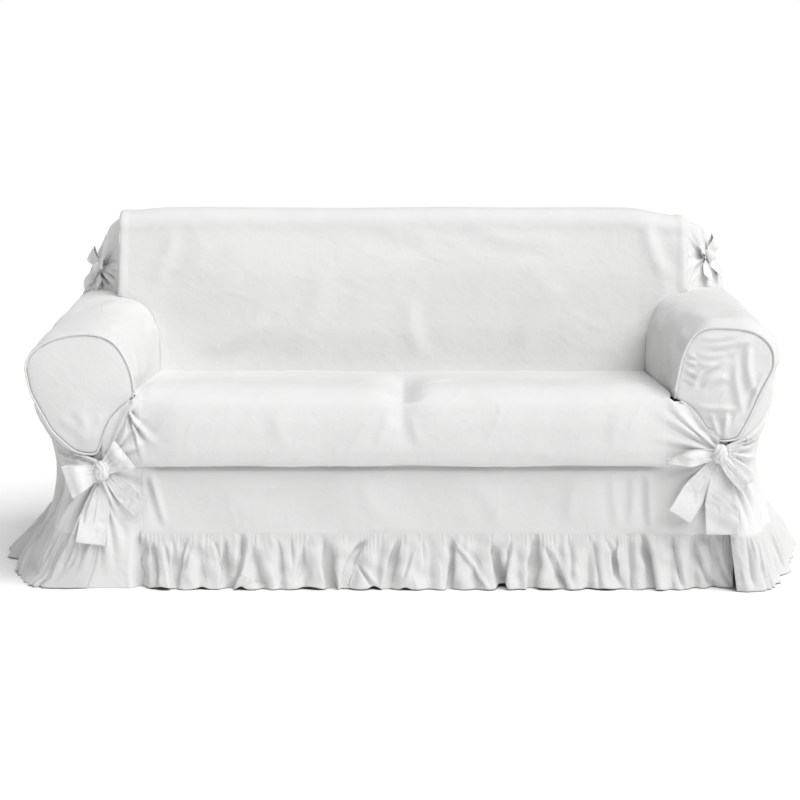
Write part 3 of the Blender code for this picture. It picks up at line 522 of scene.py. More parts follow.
# the outside of the arm below its roll: a column for each height and a row for each depth, and x at each
SKIRT_Z = (0.5300, 0.4200, 0.3300, 0.2350, 0.1350, 0.0600, 0.0000)
SKIRT_Y = (-0.425, -0.280, -0.100, 0.035, 0.250, 0.455)
SKIRT_X = {
    "left": (
        (0.8945, 0.865, 0.808, 0.810, 0.842, 0.870, 0.885),
        (0.8955, 0.888, 0.850, 0.846, 0.872, 0.916, 0.940),
        (0.8970, 0.893, 0.872, 0.866, 0.888, 0.940, 0.985),
        (0.8975, 0.897, 0.884, 0.876, 0.898, 0.955, 1.021),
        (0.8990, 0.900, 0.894, 0.888, 0.906, 0.955, 1.006),
        (0.9000, 0.900, 0.897, 0.897, 0.910, 0.936, 0.960),
    ),
    "right": (
        (0.8960, 0.864, 0.828, 0.834, 0.850, 0.862, 0.868),
        (0.8985, 0.890, 0.865, 0.872, 0.902, 0.930, 0.943),
        (0.9010, 0.898, 0.886, 0.892, 0.922, 0.962, 0.985),
        (0.9035, 0.902, 0.898, 0.908, 0.944, 0.988, 1.021),
        (0.9065, 0.905, 0.901, 0.910, 0.940, 0.980, 1.010),
        (0.9100, 0.905, 0.900, 0.905, 0.922, 0.948, 0.965),
    ),
}
REAR_FOLDS = (
    # x, z, x, z, bowed, half width, height
    (-0.62, 0.80, -0.50, 0.30, 0.020, 0.024, 0.0120),
    (-0.30, 0.70, -0.36, 0.03, -0.015, 0.024, 0.0135),
    (-0.12, 0.60, -0.16, 0.02, 0.010, 0.020, 0.0095),
    (0.10, 0.72, 0.02, 0.06, 0.012, 0.026, 0.0120),
    (0.30, 0.66, 0.34, 0.02, -0.012, 0.020, 0.0105),
    (0.46, 0.78, 0.40, 0.10, 0.016, 0.022, 0.0135),
    (0.72, 0.74, 0.60, 0.36, 0.020, 0.018, 0.0135),
    (-0.74, 0.70, -0.62, 0.44, 0.012, 0.017, 0.0135),
    (0.80, 0.50, 0.74, 0.03, 0.010, 0.020, 0.0120),
    (-0.80, 0.50, -0.72, 0.03, -0.010, 0.020, 0.0120),
    (-0.52, 0.40, -0.56, 0.02, 0.008, 0.018, 0.0095),
    (0.56, 0.36, 0.58, 0.02, 0.006, 0.018, 0.0095),
)


def outside_back_y(z):
    """Upright, swinging out towards the floor as the power 1.5 of the way down."""
    return BACK_Y + BACK_FLARE * np.clip((FLARE_Z - z) / FLARE_Z, 0.0, 1.0) ** 1.5


def skirt_side_x(side, z, y):
    """The outside of the arm below the roll, before its folds: cubic curves through SKIRT_X both ways."""
    across, down = curve_shares(y, SKIRT_Y), curve_shares(-z, -np.array(SKIRT_Z))
    return np.einsum("...i,...j,ij->...", across, down, np.array(SKIRT_X[side]))


def rear_half_width(side, z):
    """Half the width of the outside back: along the skirt, then the arm roll, then the wing."""
    section = arm_section(side, np.full(60, BACK_Y), np.linspace(LAST_ROW, CREST_ROW, 60))
    end_z = BACK_TOP_ROWS[-1][1]
    on_wing = WING_X + wing_flare(side, z, end_z - top_drop(mirrored(side, WING_X), end_z))
    on_arm = np.interp(z, section[:, 1], section[:, 0])
    on_skirt = skirt_side_x(side, z, np.full(z.shape, BACK_Y))
    return np.where(z < ARM_SEAM_Z, on_skirt, np.maximum(on_arm, on_wing))


def hemmed(to_foot, high=0.024):
    """How much a turned-up hem of that height adds: a layer, up to its row of stitches."""
    return 0.0008 * (1 - ease((to_foot - high) / 0.002))


heights = np.linspace(0, BACK_TOP_ROWS[-1][1], 92)
z, u = grid_of(heights, np.linspace(-1, 1, 184))
rear_half = {side: rear_half_width(side, heights - top_drop(mirrored(side, WING_X), heights))[:, None]
             for side in ARM_ROWS}
x = np.where(u < 0, rear_half["left"], rear_half["right"]) * u
middle = np.clip(1 - u**6, 0, 1) * ease((0.55 - z) / 0.55)
waves = sum(depth * np.sin(turns * u + start) for depth, turns, start in REAR_WAVES)
y = np.minimum(outside_back_y(z) + waves * middle, BACK_Y + BACK_FLARE)
rear_grid = stacked(x, y, z - top_drop(x, z))
to_hem, to_top, to_left, to_right = to_borders(rear_grid)
inner = ease(np.minimum(to_left, to_right) / 0.03) * ease(to_top / 0.03)
height = fold_lines(x, z, REAR_FOLDS) + 0.0012 * crumple(rear_grid, 0.12, 31)
height += 0.0015 * unevenness(rear_grid, 0.3, 32)
height = height * inner + seam(to_top) + seam(np.minimum(to_left, to_right)) + hemmed(to_hem)
rear_grid = pushed(rear_grid, height, (0, 1, 0))
hemmed_cotton = cotton("hemmed_cotton", PANEL_TONE, stitches=(HEM_STITCH,))
lay_cloth("outside_back", rear_grid, (0, 1, 0), hemmed_cotton)

# -----------------------------------------------------------------------------
# Seat cover: deck and front boxing in one piece of the same cotton, with a dip in its middle, tucked under
# along the front edge. It is loose at its ends, where the corner ties draw it in.
# -----------------------------------------------------------------------------
HALF_DECK = 0.6365  # half the deck's width between the arms
CREASE_Z = 0.2925  # where the boxing is tucked under
BOXING_Y = -0.40  # the boxing is all that lies in front of this
CORNER_Y = -0.4278  # how far forward the corner panels stand beside it
DRAWN_BACK = 0.45  # share of the way that the boxing's ends are drawn back to them
END_STITCH_X = 0.609  # stitched line by the boxing's right end
SEAM_LAP = 0.006  # how far neighbouring cloths reach behind each other
# the dip in its middle and the narrow notch in that: half width, depth, depth in the front
DIP = (0.040, 0.026, 0.008)
NOTCH = (0.017, 0.008, 0.004)
SEAT_ROWS = (
    # y, z
    (0.1700, 0.4551),
    (0.1200, 0.4556),
    (0.0000, 0.4610),
    (-0.1400, 0.4680),
    (-0.2700, 0.4760),
    (-0.3500, 0.4810),
    (-0.4050, 0.4720),
    (-0.4380, 0.4480),
    (-0.4500, 0.4100),
    (-0.4520, 0.3650),
    (-0.4490, 0.3250),
    (-0.4380, 0.2990),
    (-0.4180, CREASE_Z),
)
# folds of the boxing, seen from the front: x, z, x, z, bowed, half width, height
BOXING_FOLDS = (
    (-0.30, 0.440, -0.26, 0.330, 0.010, 0.016, 0.0016),
    (0.02, 0.430, 0.05, 0.340, 0.006, 0.012, 0.0020),
    (-0.03, 0.430, -0.07, 0.340, -0.006, 0.012, 0.0020),
    (0.28, 0.330, 0.48, 0.318, 0.004, 0.010, 0.0018),
    (0.52, 0.450, 0.500, 0.330, 0.010, 0.016, 0.0020),
)
DECK_FOLDS = (
    # x, y, x, y, bowed, half width, height
    (-0.56, -0.30, -0.36, -0.36, 0.016, 0.016, 0.0028),
    (0.03, -0.30, 0.12, -0.16, 0.010, 0.013, 0.0030),
    (-0.03, -0.30, -0.13, -0.18, -0.010, 0.013, 0.0030),
    (0.52, -0.32, 0.36, -0.24, 0.016, 0.016, 0.0030),
    (0.30, -0.02, 0.55, -0.06, 0.012, 0.018, 0.0030),
    (-0.50, 0.02, -0.20, 0.00, 0.012, 0.018, 0.0030),
)
# fans of folds from the front ties and the seat's left end, across the seams into the corner panels and the
# apron, with x outwards from the middle: x, z, x, z, bowed, half width, height
CORNER_FOLDS = {
    "left": (
        (0.700, 0.308, 0.585, 0.440, 0.006, 0.008, 0.0085),
        (0.700, 0.312, 0.628, 0.452, 0.006, 0.006, 0.0085),
        (0.706, 0.304, 0.540, 0.380, 0.006, 0.010, 0.0065),
        (0.712, 0.285, 0.590, 0.210, -0.004, 0.010, 0.0090),
        (0.712, 0.282, 0.640, 0.120, -0.004, 0.009, 0.0110),
        (0.712, 0.280, 0.668, 0.040, 0.006, 0.010, 0.0110),
        (0.712, 0.280, 0.702, 0.010, 0.004, 0.010, 0.0100),
        (0.645, 0.430, 0.612, 0.300, 0.002, 0.006, 0.0085),
        (0.645, 0.428, 0.592, 0.350, -0.002, 0.005, 0.0070),
        (0.645, 0.425, 0.560, 0.330, -0.004, 0.008, 0.0055),
        (0.645, 0.425, 0.672, 0.350, 0.004, 0.006, 0.0070),
    ),
    "right": (
        (0.742, 0.338, 0.615, 0.455, 0.000, 0.007, 0.0100),
        (0.742, 0.334, 0.580, 0.430, 0.006, 0.009, 0.0065),
        (0.742, 0.330, 0.560, 0.370, 0.004, 0.010, 0.0050),
        (0.745, 0.318, 0.600, 0.250, -0.008, 0.010, 0.0065),
        (0.748, 0.315, 0.622, 0.150, -0.012, 0.010, 0.0080),
        (0.748, 0.312, 0.662, 0.120, -0.008, 0.009, 0.0075),
        (0.748, 0.312, 0.705, 0.120, -0.004, 0.009, 0.0070),
        (0.748, 0.312, 0.738, 0.120, 0.000, 0.008, 0.0060),
    ),
}


def corner_folds(x, z):
    """The corner folds of both sides, at the left where x is below 0."""
    return np.where(x < 0, fold_lines(-x, z, CORNER_FOLDS["left"], fan=True),
                    fold_lines(x, z, CORNER_FOLDS["right"], fan=True))


def tucked(past_seam):
    """Cloth that dips behind its neighbour past their seam, so that the two meet in a soft line."""
    return -0.0022 * ease(past_seam / 0.005)


seat_profile = even_curve(np.array(SEAT_ROWS), 120)
row, u = grid_of(np.arange(len(seat_profile)), np.linspace(-1, 1, 250))
y, z = seat_profile[row, 0], seat_profile[row, 1]
half = HALF_DECK + (HALF_SEAT + SEAM_LAP - HALF_DECK) * ease((-0.405 - y) / 0.020)
x = u * half
on_deck = ease((z - 0.445) / 0.02)
dip = np.exp(-((x / DIP[0]) ** 2))
notch = np.exp(-np.abs(x / NOTCH[0]))
deck_z = z - (DIP[1] * dip + NOTCH[1] * notch) * on_deck * ease((0.12 - y) / 0.3)
level = SEAT_Z - 0.0005
# the deck's ends sink towards the arms, more at the right
sinking = np.where(u < 0, 0.35 * ease((-u - 0.935) / 0.055), 0.62 * ease((u - 0.86) / 0.125))
z = np.where(z > level, deck_z + (level - deck_z) * sinking, deck_z)
end = ease((np.abs(u) - 0.84) / 0.15) * ease((BOXING_Y - y) / 0.03)
y = y + (CORNER_Y - y) * end * DRAWN_BACK
y = y + (DIP[2] * dip + NOTCH[2] * notch) * ease((-0.42 - y) / 0.02) * ease((z - 0.33) / 0.1)
seat_grid = stacked(x, y, z)
_, to_crease, to_left, to_right = to_borders(seat_grid)
on_front = ease((BOXING_Y - y) / 0.03)
height = fold_lines(x, z, BOXING_FOLDS) * on_front + fold_lines(x, y, DECK_FOLDS) * (1 - on_front)
height += 0.0010 * crumple(seat_grid, 0.10, 41) + 0.0016 * unevenness(seat_grid, 0.22, 42)
height *= ease(np.minimum(to_left, to_right) / 0.015)
height += (corner_folds(x, z) + tucked(np.abs(x) - HALF_SEAT)) * on_front
height += seam(x - END_STITCH_X, 0.0022, 0.0012) * on_front + seam(to_crease, 0.004, 0.002)
seat_grid = pushed(seat_grid, height, (0, -1, 1))
lay_cloth("seat_cover", seat_grid, (0, -1, 1), panel_cotton)

# -----------------------------------------------------------------------------
# Arm covers of the same cotton, from the seat over the roll of the arm to the seam at its widest point, and
# the arm faces, inverted teardrops sewn into their fronts with piping. The right face sits looser, with soft
# cross folds.
# -----------------------------------------------------------------------------
# folds on the roll, unrolled: y, share of the way over it, y, share, bowed, half width, height
ARM_FOLDS = {
    "left": (
        (-0.41, 0.10, -0.10, 0.20, 0.02, 0.05, 0.0040),
        (-0.42, 0.14, -0.26, 0.26, 0.02, 0.04, 0.0045),
        (-0.42, 0.48, -0.20, 0.50, 0.01, 0.03, 0.0020),
        (0.16, 0.30, -0.02, 0.26, 0.02, 0.04, 0.0035),
        (0.10, 0.52, -0.12, 0.62, 0.02, 0.05, 0.0030),
        (-0.40, 0.74, -0.22, 0.80, 0.01, 0.04, 0.0030),
        (0.40, 0.70, 0.10, 0.78, 0.01, 0.04, 0.0035),
    ),
    "right": (
        (-0.42, 0.10, -0.16, 0.16, 0.02, 0.05, 0.0045),
        (-0.41, 0.22, -0.20, 0.30, 0.02, 0.04, 0.0045),
        (-0.42, 0.36, -0.26, 0.38, 0.01, 0.03, 0.0040),
        (-0.42, 0.55, -0.10, 0.52, 0.02, 0.05, 0.0035),
        (-0.42, 0.66, -0.22, 0.70, 0.01, 0.04, 0.0040),
        (0.14, 0.34, -0.08, 0.28, 0.02, 0.04, 0.0040),
        (0.36, 0.70, 0.05, 0.82, 0.01, 0.05, 0.0040),
        (-0.40, 0.84, -0.18, 0.90, 0.01, 0.03, 0.0035),
    ),
}
# the skirt's front edge: z, x, y along the arm face down to the bow, then free as the flap's edge
EDGE_ROWS = {
    "left": (
        (0.5305, 0.8930, -0.4227),
        (0.4700, 0.8790, -0.4227),
        (0.3780, 0.8300, -0.4227),
        (0.3400, 0.7900, -0.4227),
        (0.3260, 0.7700, -0.4227),
        (0.3110, 0.7200, -0.4312),
        (0.2500, 0.7120, -0.4350),
        (0.1350, 0.7170, -0.4400),
        (0.0500, 0.7350, -0.4380),
        (0.0000, 0.7530, -0.4330),
    ),
    "right": (
        (0.5305, 0.8780, -0.4227),
        (0.4700, 0.8460, -0.4227),
        (0.4100, 0.8200, -0.4227),
        (0.3750, 0.8020, -0.4227),
        (0.3580, 0.7930, -0.4227),
        (0.3420, 0.7600, -0.4312),
        (0.2600, 0.7620, -0.4400),
        (0.1350, 0.7750, -0.4560),
        (0.0500, 0.7850, -0.4640),
        (0.0000, 0.7920, -0.4680),
    ),
}
# the lower inner edge of the arm face, from the bow up to the seat: x, z
FACE_INNER = {
    "left": ((0.724, 0.3200), (0.706, 0.3700), (0.688, 0.4070), (0.667, 0.4300), (0.645, 0.4480)),
    "right": ((0.750, 0.3520), (0.716, 0.3850), (0.694, 0.4180), (0.674, 0.4400), (0.652, 0.4520)),
}
FACE_PUFF = 0.010  # how far the faces swell in their middle
PIPING = 0.0026  # its radius
# folds of the faces, seen from the front, with x from the middle of the cover outwards
FACE_FOLDS = {
    "left": (
        (0.735, 0.345, 0.700, 0.430, 0.004, 0.010, 0.0030),
        (0.740, 0.340, 0.770, 0.440, -0.004, 0.012, 0.0028),
        (0.742, 0.340, 0.820, 0.420, -0.008, 0.012, 0.0026),
    ),
    "right": (
        (0.690, 0.600, 0.800, 0.612, 0.006, 0.006, 0.0060),
        (0.690, 0.582, 0.835, 0.600, 0.006, 0.008, 0.0080),
        (0.688, 0.560, 0.800, 0.580, 0.008, 0.008, 0.0070),
        (0.684, 0.540, 0.770, 0.556, 0.006, 0.008, 0.0050),
        (0.682, 0.488, 0.750, 0.540, -0.014, 0.007, 0.0095),
        (0.700, 0.478, 0.775, 0.505, -0.012, 0.009, 0.0060),
        (0.684, 0.440, 0.796, 0.436, 0.005, 0.007, 0.0070),
        (0.690, 0.425, 0.770, 0.418, 0.004, 0.007, 0.0050),
        (0.820, 0.602, 0.846, 0.450, 0.020, 0.010, 0.0075),
        (0.792, 0.575, 0.812, 0.400, 0.014, 0.010, 0.0050),
        (0.856, 0.520, 0.815, 0.405, 0.006, 0.005, 0.0060),
        (0.668, 0.560, 0.690, 0.556, 0.000, 0.004, 0.0040),
        (0.666, 0.545, 0.692, 0.538, 0.000, 0.004, 0.0045),
        (0.664, 0.525, 0.694, 0.512, 0.000, 0.004, 0.0045),
        (0.664, 0.505, 0.692, 0.490, 0.000, 0.004, 0.0040),
        (0.748, 0.350, 0.722, 0.430, 0.004, 0.006, 0.0060),
        (0.752, 0.350, 0.764, 0.440, 0.004, 0.007, 0.0070),
        (0.756, 0.352, 0.800, 0.430, -0.004, 0.008, 0.0060),
    ),
}


def face_outline(side, count):
    """The arm face's closed edge, evenly spaced, from the seat over the top, down to the tie and back.

    Its corners are softened by repeated means of three neighbours, and its first point comes again last."""
    over = arm_section(side, np.full(60, FACE_Y), np.linspace(0, LAST_ROW, 60))
    down = [(x, z) for z, x, _ in EDGE_ROWS[side][1:5]]
    corners = np.concatenate([over, down, FACE_INNER[side], over[:1]])
    along = run_of(corners, 0)
    places = np.linspace(0, along[-1], count)[:-1]
    line = np.stack([np.interp(places, along, corners[:, k]) for k in (0, 1)], axis=-1)
    for _ in range(12):
        line = (np.roll(line, 1, axis=0) + 2 * line + np.roll(line, -1, axis=0)) / 4
    return np.concatenate([line, line[:1]])


def tube(path, radius, sides=10):
    """A closed-section tube along a path: a circle in the plane square to the path at each of its points."""
    along = np.gradient(path, axis=0)
    along /= np.linalg.norm(along, axis=1, keepdims=True)
    first = np.cross(along, (0.0, 1.0, 0.0))
    first /= np.maximum(np.linalg.norm(first, axis=1, keepdims=True), 1e-9)
    second = np.cross(along, first)
    turn = np.linspace(0, 2 * np.pi, sides, endpoint=False)
    ring = np.cos(turn)[None, :, None] * first[:, None] + np.sin(turn)[None, :, None] * second[:, None]
    return path[:, None] + ring * radius


def piped(name, path, radius, material):
    """Piping: a cord in its own strip of cotton, as a tube along the seam with closed ends."""
    grid = tube(path, radius)
    rows, columns = grid.shape[:2]
    number = np.arange(rows * columns).reshape(rows, columns)
    after = np.roll(number, -1, axis=1)
    faces = np.stack([number[:-1], after[:-1], after[1:], number[1:]], axis=-1).reshape(-1, 4).tolist()
    faces += [number[0, ::-1].tolist(), number[-1].tolist()]
    lengths = np.stack(np.broadcast_arrays(run_of(grid, 0), np.arange(columns) * radius * 0.6), axis=-1)
    piece = sewn_piece(name, grid.reshape(-1, 3), faces, lengths.reshape(-1, 2), material)


for side in ARM_ROWS:
    rows = np.linspace(0, LAST_ROW, 110)
    crest = int(np.argmin(np.abs(rows - CREST_ROW)))
    z_back = arm_section(side, np.full(110, ARM_END_Y), rows)[:, 1]
    y_end = inside_back_y(np.where(rows <= rows[crest], z_back, z_back[crest])) + 0.004
    share, row = grid_of(np.linspace(0, 1, 120), rows)
    y = FACE_Y + (y_end[None, :] - FACE_Y) * share
    behind_crest = ease((row - rows[crest]) / 0.3)
    y = y + (BACK_IN + 0.001 - y_end[None, :]) * share * behind_crest
    section = arm_section(side, y, row)
    arm_grid = stacked(mirrored(side, section[..., 0]), y, section[..., 1])
    to_face, _, to_seat, to_seam = to_borders(arm_grid)
    height = fold_lines(y, row / LAST_ROW, ARM_FOLDS[side]) + 0.0012 * crumple(arm_grid, 0.09, 51)
    height += 0.0020 * unevenness(arm_grid, 0.20, 52 if side == "left" else 53)
    height *= ease(to_face / 0.012) * ease(to_seat / 0.02) * ease(to_seam / 0.012)
    height += seam(to_face, 0.004, 0.0024) + seam(to_seam)
    arm_grid = pushed(arm_grid, height, (0, 0, 1))
    lay_cloth(f"arm_cover_{side}", arm_grid, (0, 0, 1), panel_cotton)

    outline = face_outline(side, 200)
    middle = np.array((ARM_MIDDLE[0], ARM_MIDDLE[1] - 0.02))
    ring, place = grid_of(1 - np.linspace(0, 1, 36) ** 0.8, np.arange(200))
    flat_points = middle + (outline[place] - middle) * ring[..., None]
    swell = FACE_PUFF * (1 - ring**2)
    x, z = flat_points[..., 0], flat_points[..., 1]
    reach = np.linalg.norm(outline[place] - middle, axis=-1) * (1 - ring)
    height = fold_lines(x, z, FACE_FOLDS[side]) + 0.0006 * unevenness(stacked(x, 0 * x, z), 0.14, 54)
    height += (0.0002 if side == "left" else 0.0006) * crumple(stacked(x, 0 * x, z), 0.06, 55)
    height = height * ease(reach / 0.014) + seam(reach, 0.005, 0.0030)
    face_grid = stacked(mirrored(side, x), FACE_Y - swell - height, z)
    lay_cloth(f"arm_face_{side}", face_grid, (0, -1, 0), panel_cotton,
              closed=True)
    path = stacked(mirrored(side, outline[4:-4, 0]), FACE_Y - 0.0006, outline[4:-4, 1])
    piped(f"arm_piping_{side}", path, PIPING, panel_cotton)

# -----------------------------------------------------------------------------
# Arm fronts: corner panels of the same cotton below the arm faces, sewn to the seat cover and pulled towards
# the ties. The left one hangs to the floor with a deep fold at its inner edge; the right one ends at the
# ruffle.
# -----------------------------------------------------------------------------
RUFFLE_Z = 0.1310  # seam of the ruffles
APRON_Y = -0.415
# lower end, x of the outer edge at the foot, under the flap and at the tie, how far the top reaches over the
# seat's level, rows of the grid, flat size
FRONT_PANELS = {
    "left": (0.0, 0.775, 0.735, 0.712, 0.0090, 110, (0.12, 0.45)),
    "right": (RUFFLE_Z - 0.0055, 0.788, 0.788, 0.750, 0.0045, 78, (0.14, 0.33)),
}
BEHIND_TIP = 0.022  # how far the panel reaches behind the face's tip
PANEL_SWELL = 0.010
INNER_FOLD = 0.030  # depth of the fold at the left panel's inner edge
UNDER_ARM = 0.007  # how far the panel's top is tucked back under the arm


def apron_foot_y(x):
    """Where the ruffle's seam runs: further out beside the corner panels and under the right flap."""
    to_end = ease((np.abs(x) / HALF_SEAT - 0.90) / 0.10)
    return APRON_Y - 0.0015 - 0.0051 * to_end - 0.0050 * ease((x - HALF_SEAT) / 0.08)


for side, (bottom, foot_x, hidden_x, neck_x, top, rows, flat) in FRONT_PANELS.items():
    inner_edge = np.array(FACE_INNER[side])
    waist = inner_edge[0, 1]
    z_known = np.array((0.0, waist - 0.060, waist - 0.035, waist + 0.012, *inner_edge[1:, 1]))
    tip_x = neck_x + BEHIND_TIP
    x_known = np.array((foot_x, hidden_x, tip_x, tip_x, *(inner_edge[1:, 0] + 0.004)))
    z, u = grid_of(np.linspace(bottom, SEAT_Z + top, rows), np.linspace(0, 1, 50))
    x_outer = np.interp(z, z_known, x_known)
    x = x_outer + (HALF_SEAT - SEAM_LAP - x_outer) * u
    z = z - 0.012 * ease((z - SEAT_Z + 0.02) / 0.03) * ease((x - 0.624) / 0.02)
    swell = PANEL_SWELL * np.sin(np.pi * np.clip(u * 1.2 - 0.2, 0, 1)) * ease(z / 0.3)
    fold = INNER_FOLD * ease((0.652 - x) / 0.028) * ease((0.18 - z) / 0.10) * (side == "left")
    y = FACE_Y - 0.0040 - swell - 0.004 * (1 - ease(z / 0.25)) * u + fold
    y = y + 0.012 * ease((x - neck_x + 0.004) / 0.010) * ease((z - waist + 0.040) / 0.020)
    # at its inner edge and its top the panel meets the boxing, and under the crease the apron
    front_of_seat = seat_profile[np.argmax(seat_profile[:, 1]):]
    beside = np.interp(-z, -front_of_seat[:, 1], front_of_seat[:, 0])
    beside = beside + (CORNER_Y - beside) * DRAWN_BACK
    beside = np.where(z < CREASE_Z, apron_foot_y(HALF_SEAT), beside)
    to_seat = np.clip((x_outer - x) / (x_outer - HALF_SEAT), 0, 1)
    over_top = ease((z - 0.436) / 0.018)
    y = y + (beside - y) * np.maximum(ease((to_seat - 0.25) / 0.75) * ease((z - 0.11) / 0.06), over_top)
    y = y + UNDER_ARM * ease((z - 0.438) / 0.010) * ease((x - 0.636) / 0.010)
    if side == "right":
        y = y + (apron_foot_y(x) - y) * ease((0.165 - z) / 0.034)
    height = corner_folds(mirrored(side, x), z)
    loose = 0.0010 * crumple(stacked(x, y, z), 0.05, 61) + 0.0014 * unevenness(stacked(x, y, z), 0.10, 62)
    height = (height + loose * ease((x - HALF_SEAT) / 0.02)) * ease((x_outer - x) / 0.006)
    if side == "right":
        height = height * ease((z - RUFFLE_Z) / 0.012) + tucked(RUFFLE_Z - z)
    height += tucked(HALF_SEAT - x)
    if side == "left":
        height += hemmed(z)
    panel_grid = stacked(mirrored(side, x), y - height, z)
    lay_cloth(f"arm_front_{side}", panel_grid, (0, -1, 0),
              hemmed_cotton if side == "left" else panel_cotton)

# -----------------------------------------------------------------------------
# Front apron: a flat panel of the same cotton, sewn in between the fold under the seat and the ruffle. A long
# fold slants down at its left, and it is drawn into upright folds beside the right tie.
# -----------------------------------------------------------------------------
# folds seen from the front: x, z, x, z, bowed, half width, height
APRON_FOLDS = (
    (-0.600, 0.290, -0.562, 0.140, 0.002, 0.007, 0.0085),
    (-0.44, 0.270, -0.20, 0.240, 0.010, 0.016, 0.0018),
    (-0.10, 0.280, -0.04, 0.150, 0.010, 0.018, 0.0020),
    (0.16, 0.270, 0.24, 0.140, -0.010, 0.018, 0.0020),
    (0.42, 0.285, 0.40, 0.140, 0.008, 0.016, 0.0025),
    (0.500, 0.290, 0.515, 0.140, 0.004, 0.011, 0.0030),
    (0.548, 0.290, 0.542, 0.140, -0.004, 0.010, 0.0040),
    (0.586, 0.290, 0.592, 0.130, 0.002, 0.008, 0.0060),
)


def toned(share):
    """The panels' tone times that share."""
    return tuple(channel * share for channel in PANEL_TONE)


z, u = grid_of(np.linspace(RUFFLE_Z - 0.005, CREASE_Z + 0.004, 48), np.linspace(-1, 1, 240))
x = u * (HALF_SEAT + SEAM_LAP)
across = (z - RUFFLE_Z) / (CREASE_Z - RUFFLE_Z)
tug = 0.004 * np.sin(14.0 * u + 0.8) * np.sin(np.pi * np.clip(across, 0, 1))
recess = 0.006 * ease((z - CREASE_Z + 0.014) / 0.014) * ease((HALF_SEAT - np.abs(x)) / 0.04)
apron_grid = stacked(x, apron_foot_y(x) + tug * (1 - u**8) + recess, z)
height = fold_lines(x, z, APRON_FOLDS) + 0.0008 * crumple(apron_grid, 0.09, 71)
height += 0.0012 * unevenness(apron_grid, 0.20, 72)
height = (height * ease((HALF_SEAT - np.abs(x)) / 0.01) + corner_folds(x, z)) * ease((z - RUFFLE_Z) / 0.012)
height += tucked(RUFFLE_Z - z) + tucked(np.abs(x) - HALF_SEAT)
apron_grid = pushed(apron_grid, height, (0, -1, 0))
# painted shade: the apron is the panels' cotton made a little greyer, for the shade it lies in under the
# seat's boxing
shaded_apron_cotton = cotton("shaded_apron_cotton", toned(0.965))
lay_cloth("front_apron", apron_grid, (0, -1, 0), shaded_apron_cotton)

# -----------------------------------------------------------------------------
# Side skirts of the same cotton, hanging from the roll's seam down the outside of each arm and wrapped round
# the front corner to the tie. Below it each is open, as a flap over the front. The ties draw fans of folds
# into them.
# -----------------------------------------------------------------------------
CORNER_SHARE = 0.62  # share of the skirt that lies on the side, before the corner
CORNER_START_Y = FACE_Y + 0.075
FLAP_Y = {"left": -0.455, "right": -0.507}  # how far forward the corner swings at the hem
FOLD_TOP_Z = 0.330
SLIT_Y = -0.285  # middle of the deep slit behind the left flap
DRAWN_IN = {"left": 0.020, "right": 0.004}  # how far the flap steps in past the slit behind it
# folds pressed in from outside: y at the top, y at the hem, depth at the hem, half width
SKIRT_FOLDS = {
    "left": (
        (-0.312, -0.262, 0.100, 0.0070),
        (-0.200, -0.130, 0.014, 0.040),
        (0.020, 0.130, 0.016, 0.050),
        (0.280, 0.330, 0.018, 0.045),
    ),
    "right": (
        (-0.340, -0.300, 0.016, 0.030),
        (-0.220, -0.170, 0.024, 0.036),
        (-0.110, -0.050, 0.012, 0.034),
        (0.260, 0.300, 0.020, 0.045),
    ),
}
# fans from the front ties: distance back from the flap's edge along the cloth, z, the same again, bowed,
# half width, height
TIE_FANS = {
    "left": (
        (0.000, 0.300, 0.120, 0.500, 0.012, 0.009, 0.0070),
        (0.000, 0.298, 0.170, 0.440, 0.012, 0.010, 0.0080),
        (0.000, 0.294, 0.200, 0.360, 0.008, 0.011, 0.0080),
        (0.000, 0.290, 0.190, 0.290, -0.004, 0.010, 0.0085),
        (0.000, 0.286, 0.170, 0.190, -0.004, 0.010, 0.0100),
        (0.000, 0.282, 0.165, 0.060, -0.008, 0.010, 0.0155),
        (0.002, 0.270, 0.120, 0.040, -0.006, 0.012, -0.0140),
        (0.000, 0.280, 0.102, 0.010, -0.006, 0.009, 0.0170),
        (0.000, 0.278, 0.066, 0.000, -0.006, 0.008, 0.0150),
        (0.000, 0.276, 0.028, 0.000, -0.002, 0.007, 0.0110),
    ),
    "right": (
        (0.000, 0.340, 0.130, 0.500, 0.012, 0.009, 0.0075),
        (0.000, 0.336, 0.170, 0.430, 0.010, 0.010, 0.0080),
        (0.000, 0.332, 0.185, 0.365, 0.006, 0.009, 0.0085),
        (0.000, 0.328, 0.190, 0.300, 0.004, 0.010, 0.0090),
        (0.000, 0.322, 0.165, 0.215, -0.006, 0.010, 0.0090),
        (0.000, 0.318, 0.120, 0.130, -0.008, 0.010, 0.0095),
        (0.000, 0.314, 0.080, 0.120, -0.006, 0.009, 0.0090),
        (0.000, 0.310, 0.040, 0.120, -0.004, 0.008, 0.0075),
    ),
}
# long soft folds on the side: y, z, y, z, bowed, half width, height
SIDE_FOLDS = {
    "left": (
        (-0.26, 0.52, -0.16, 0.20, 0.020, 0.022, 0.0045),
        (-0.02, 0.52, 0.02, 0.16, -0.020, 0.024, 0.0045),
        (0.16, 0.50, 0.22, 0.15, 0.016, 0.024, 0.0050),
        (0.34, 0.52, 0.38, 0.18, -0.012, 0.020, 0.0045),
        (-0.10, 0.44, 0.26, 0.40, 0.020, 0.024, 0.0030),
    ),
    "right": (
        (-0.24, 0.52, -0.18, 0.18, 0.020, 0.022, 0.0045),
        (-0.06, 0.50, 0.00, 0.16, -0.016, 0.022, 0.0050),
        (0.12, 0.52, 0.16, 0.17, 0.020, 0.026, 0.0045),
        (0.30, 0.50, 0.34, 0.18, -0.014, 0.022, 0.0050),
        (-0.12, 0.42, 0.20, 0.46, 0.020, 0.024, 0.0030),
    ),
}


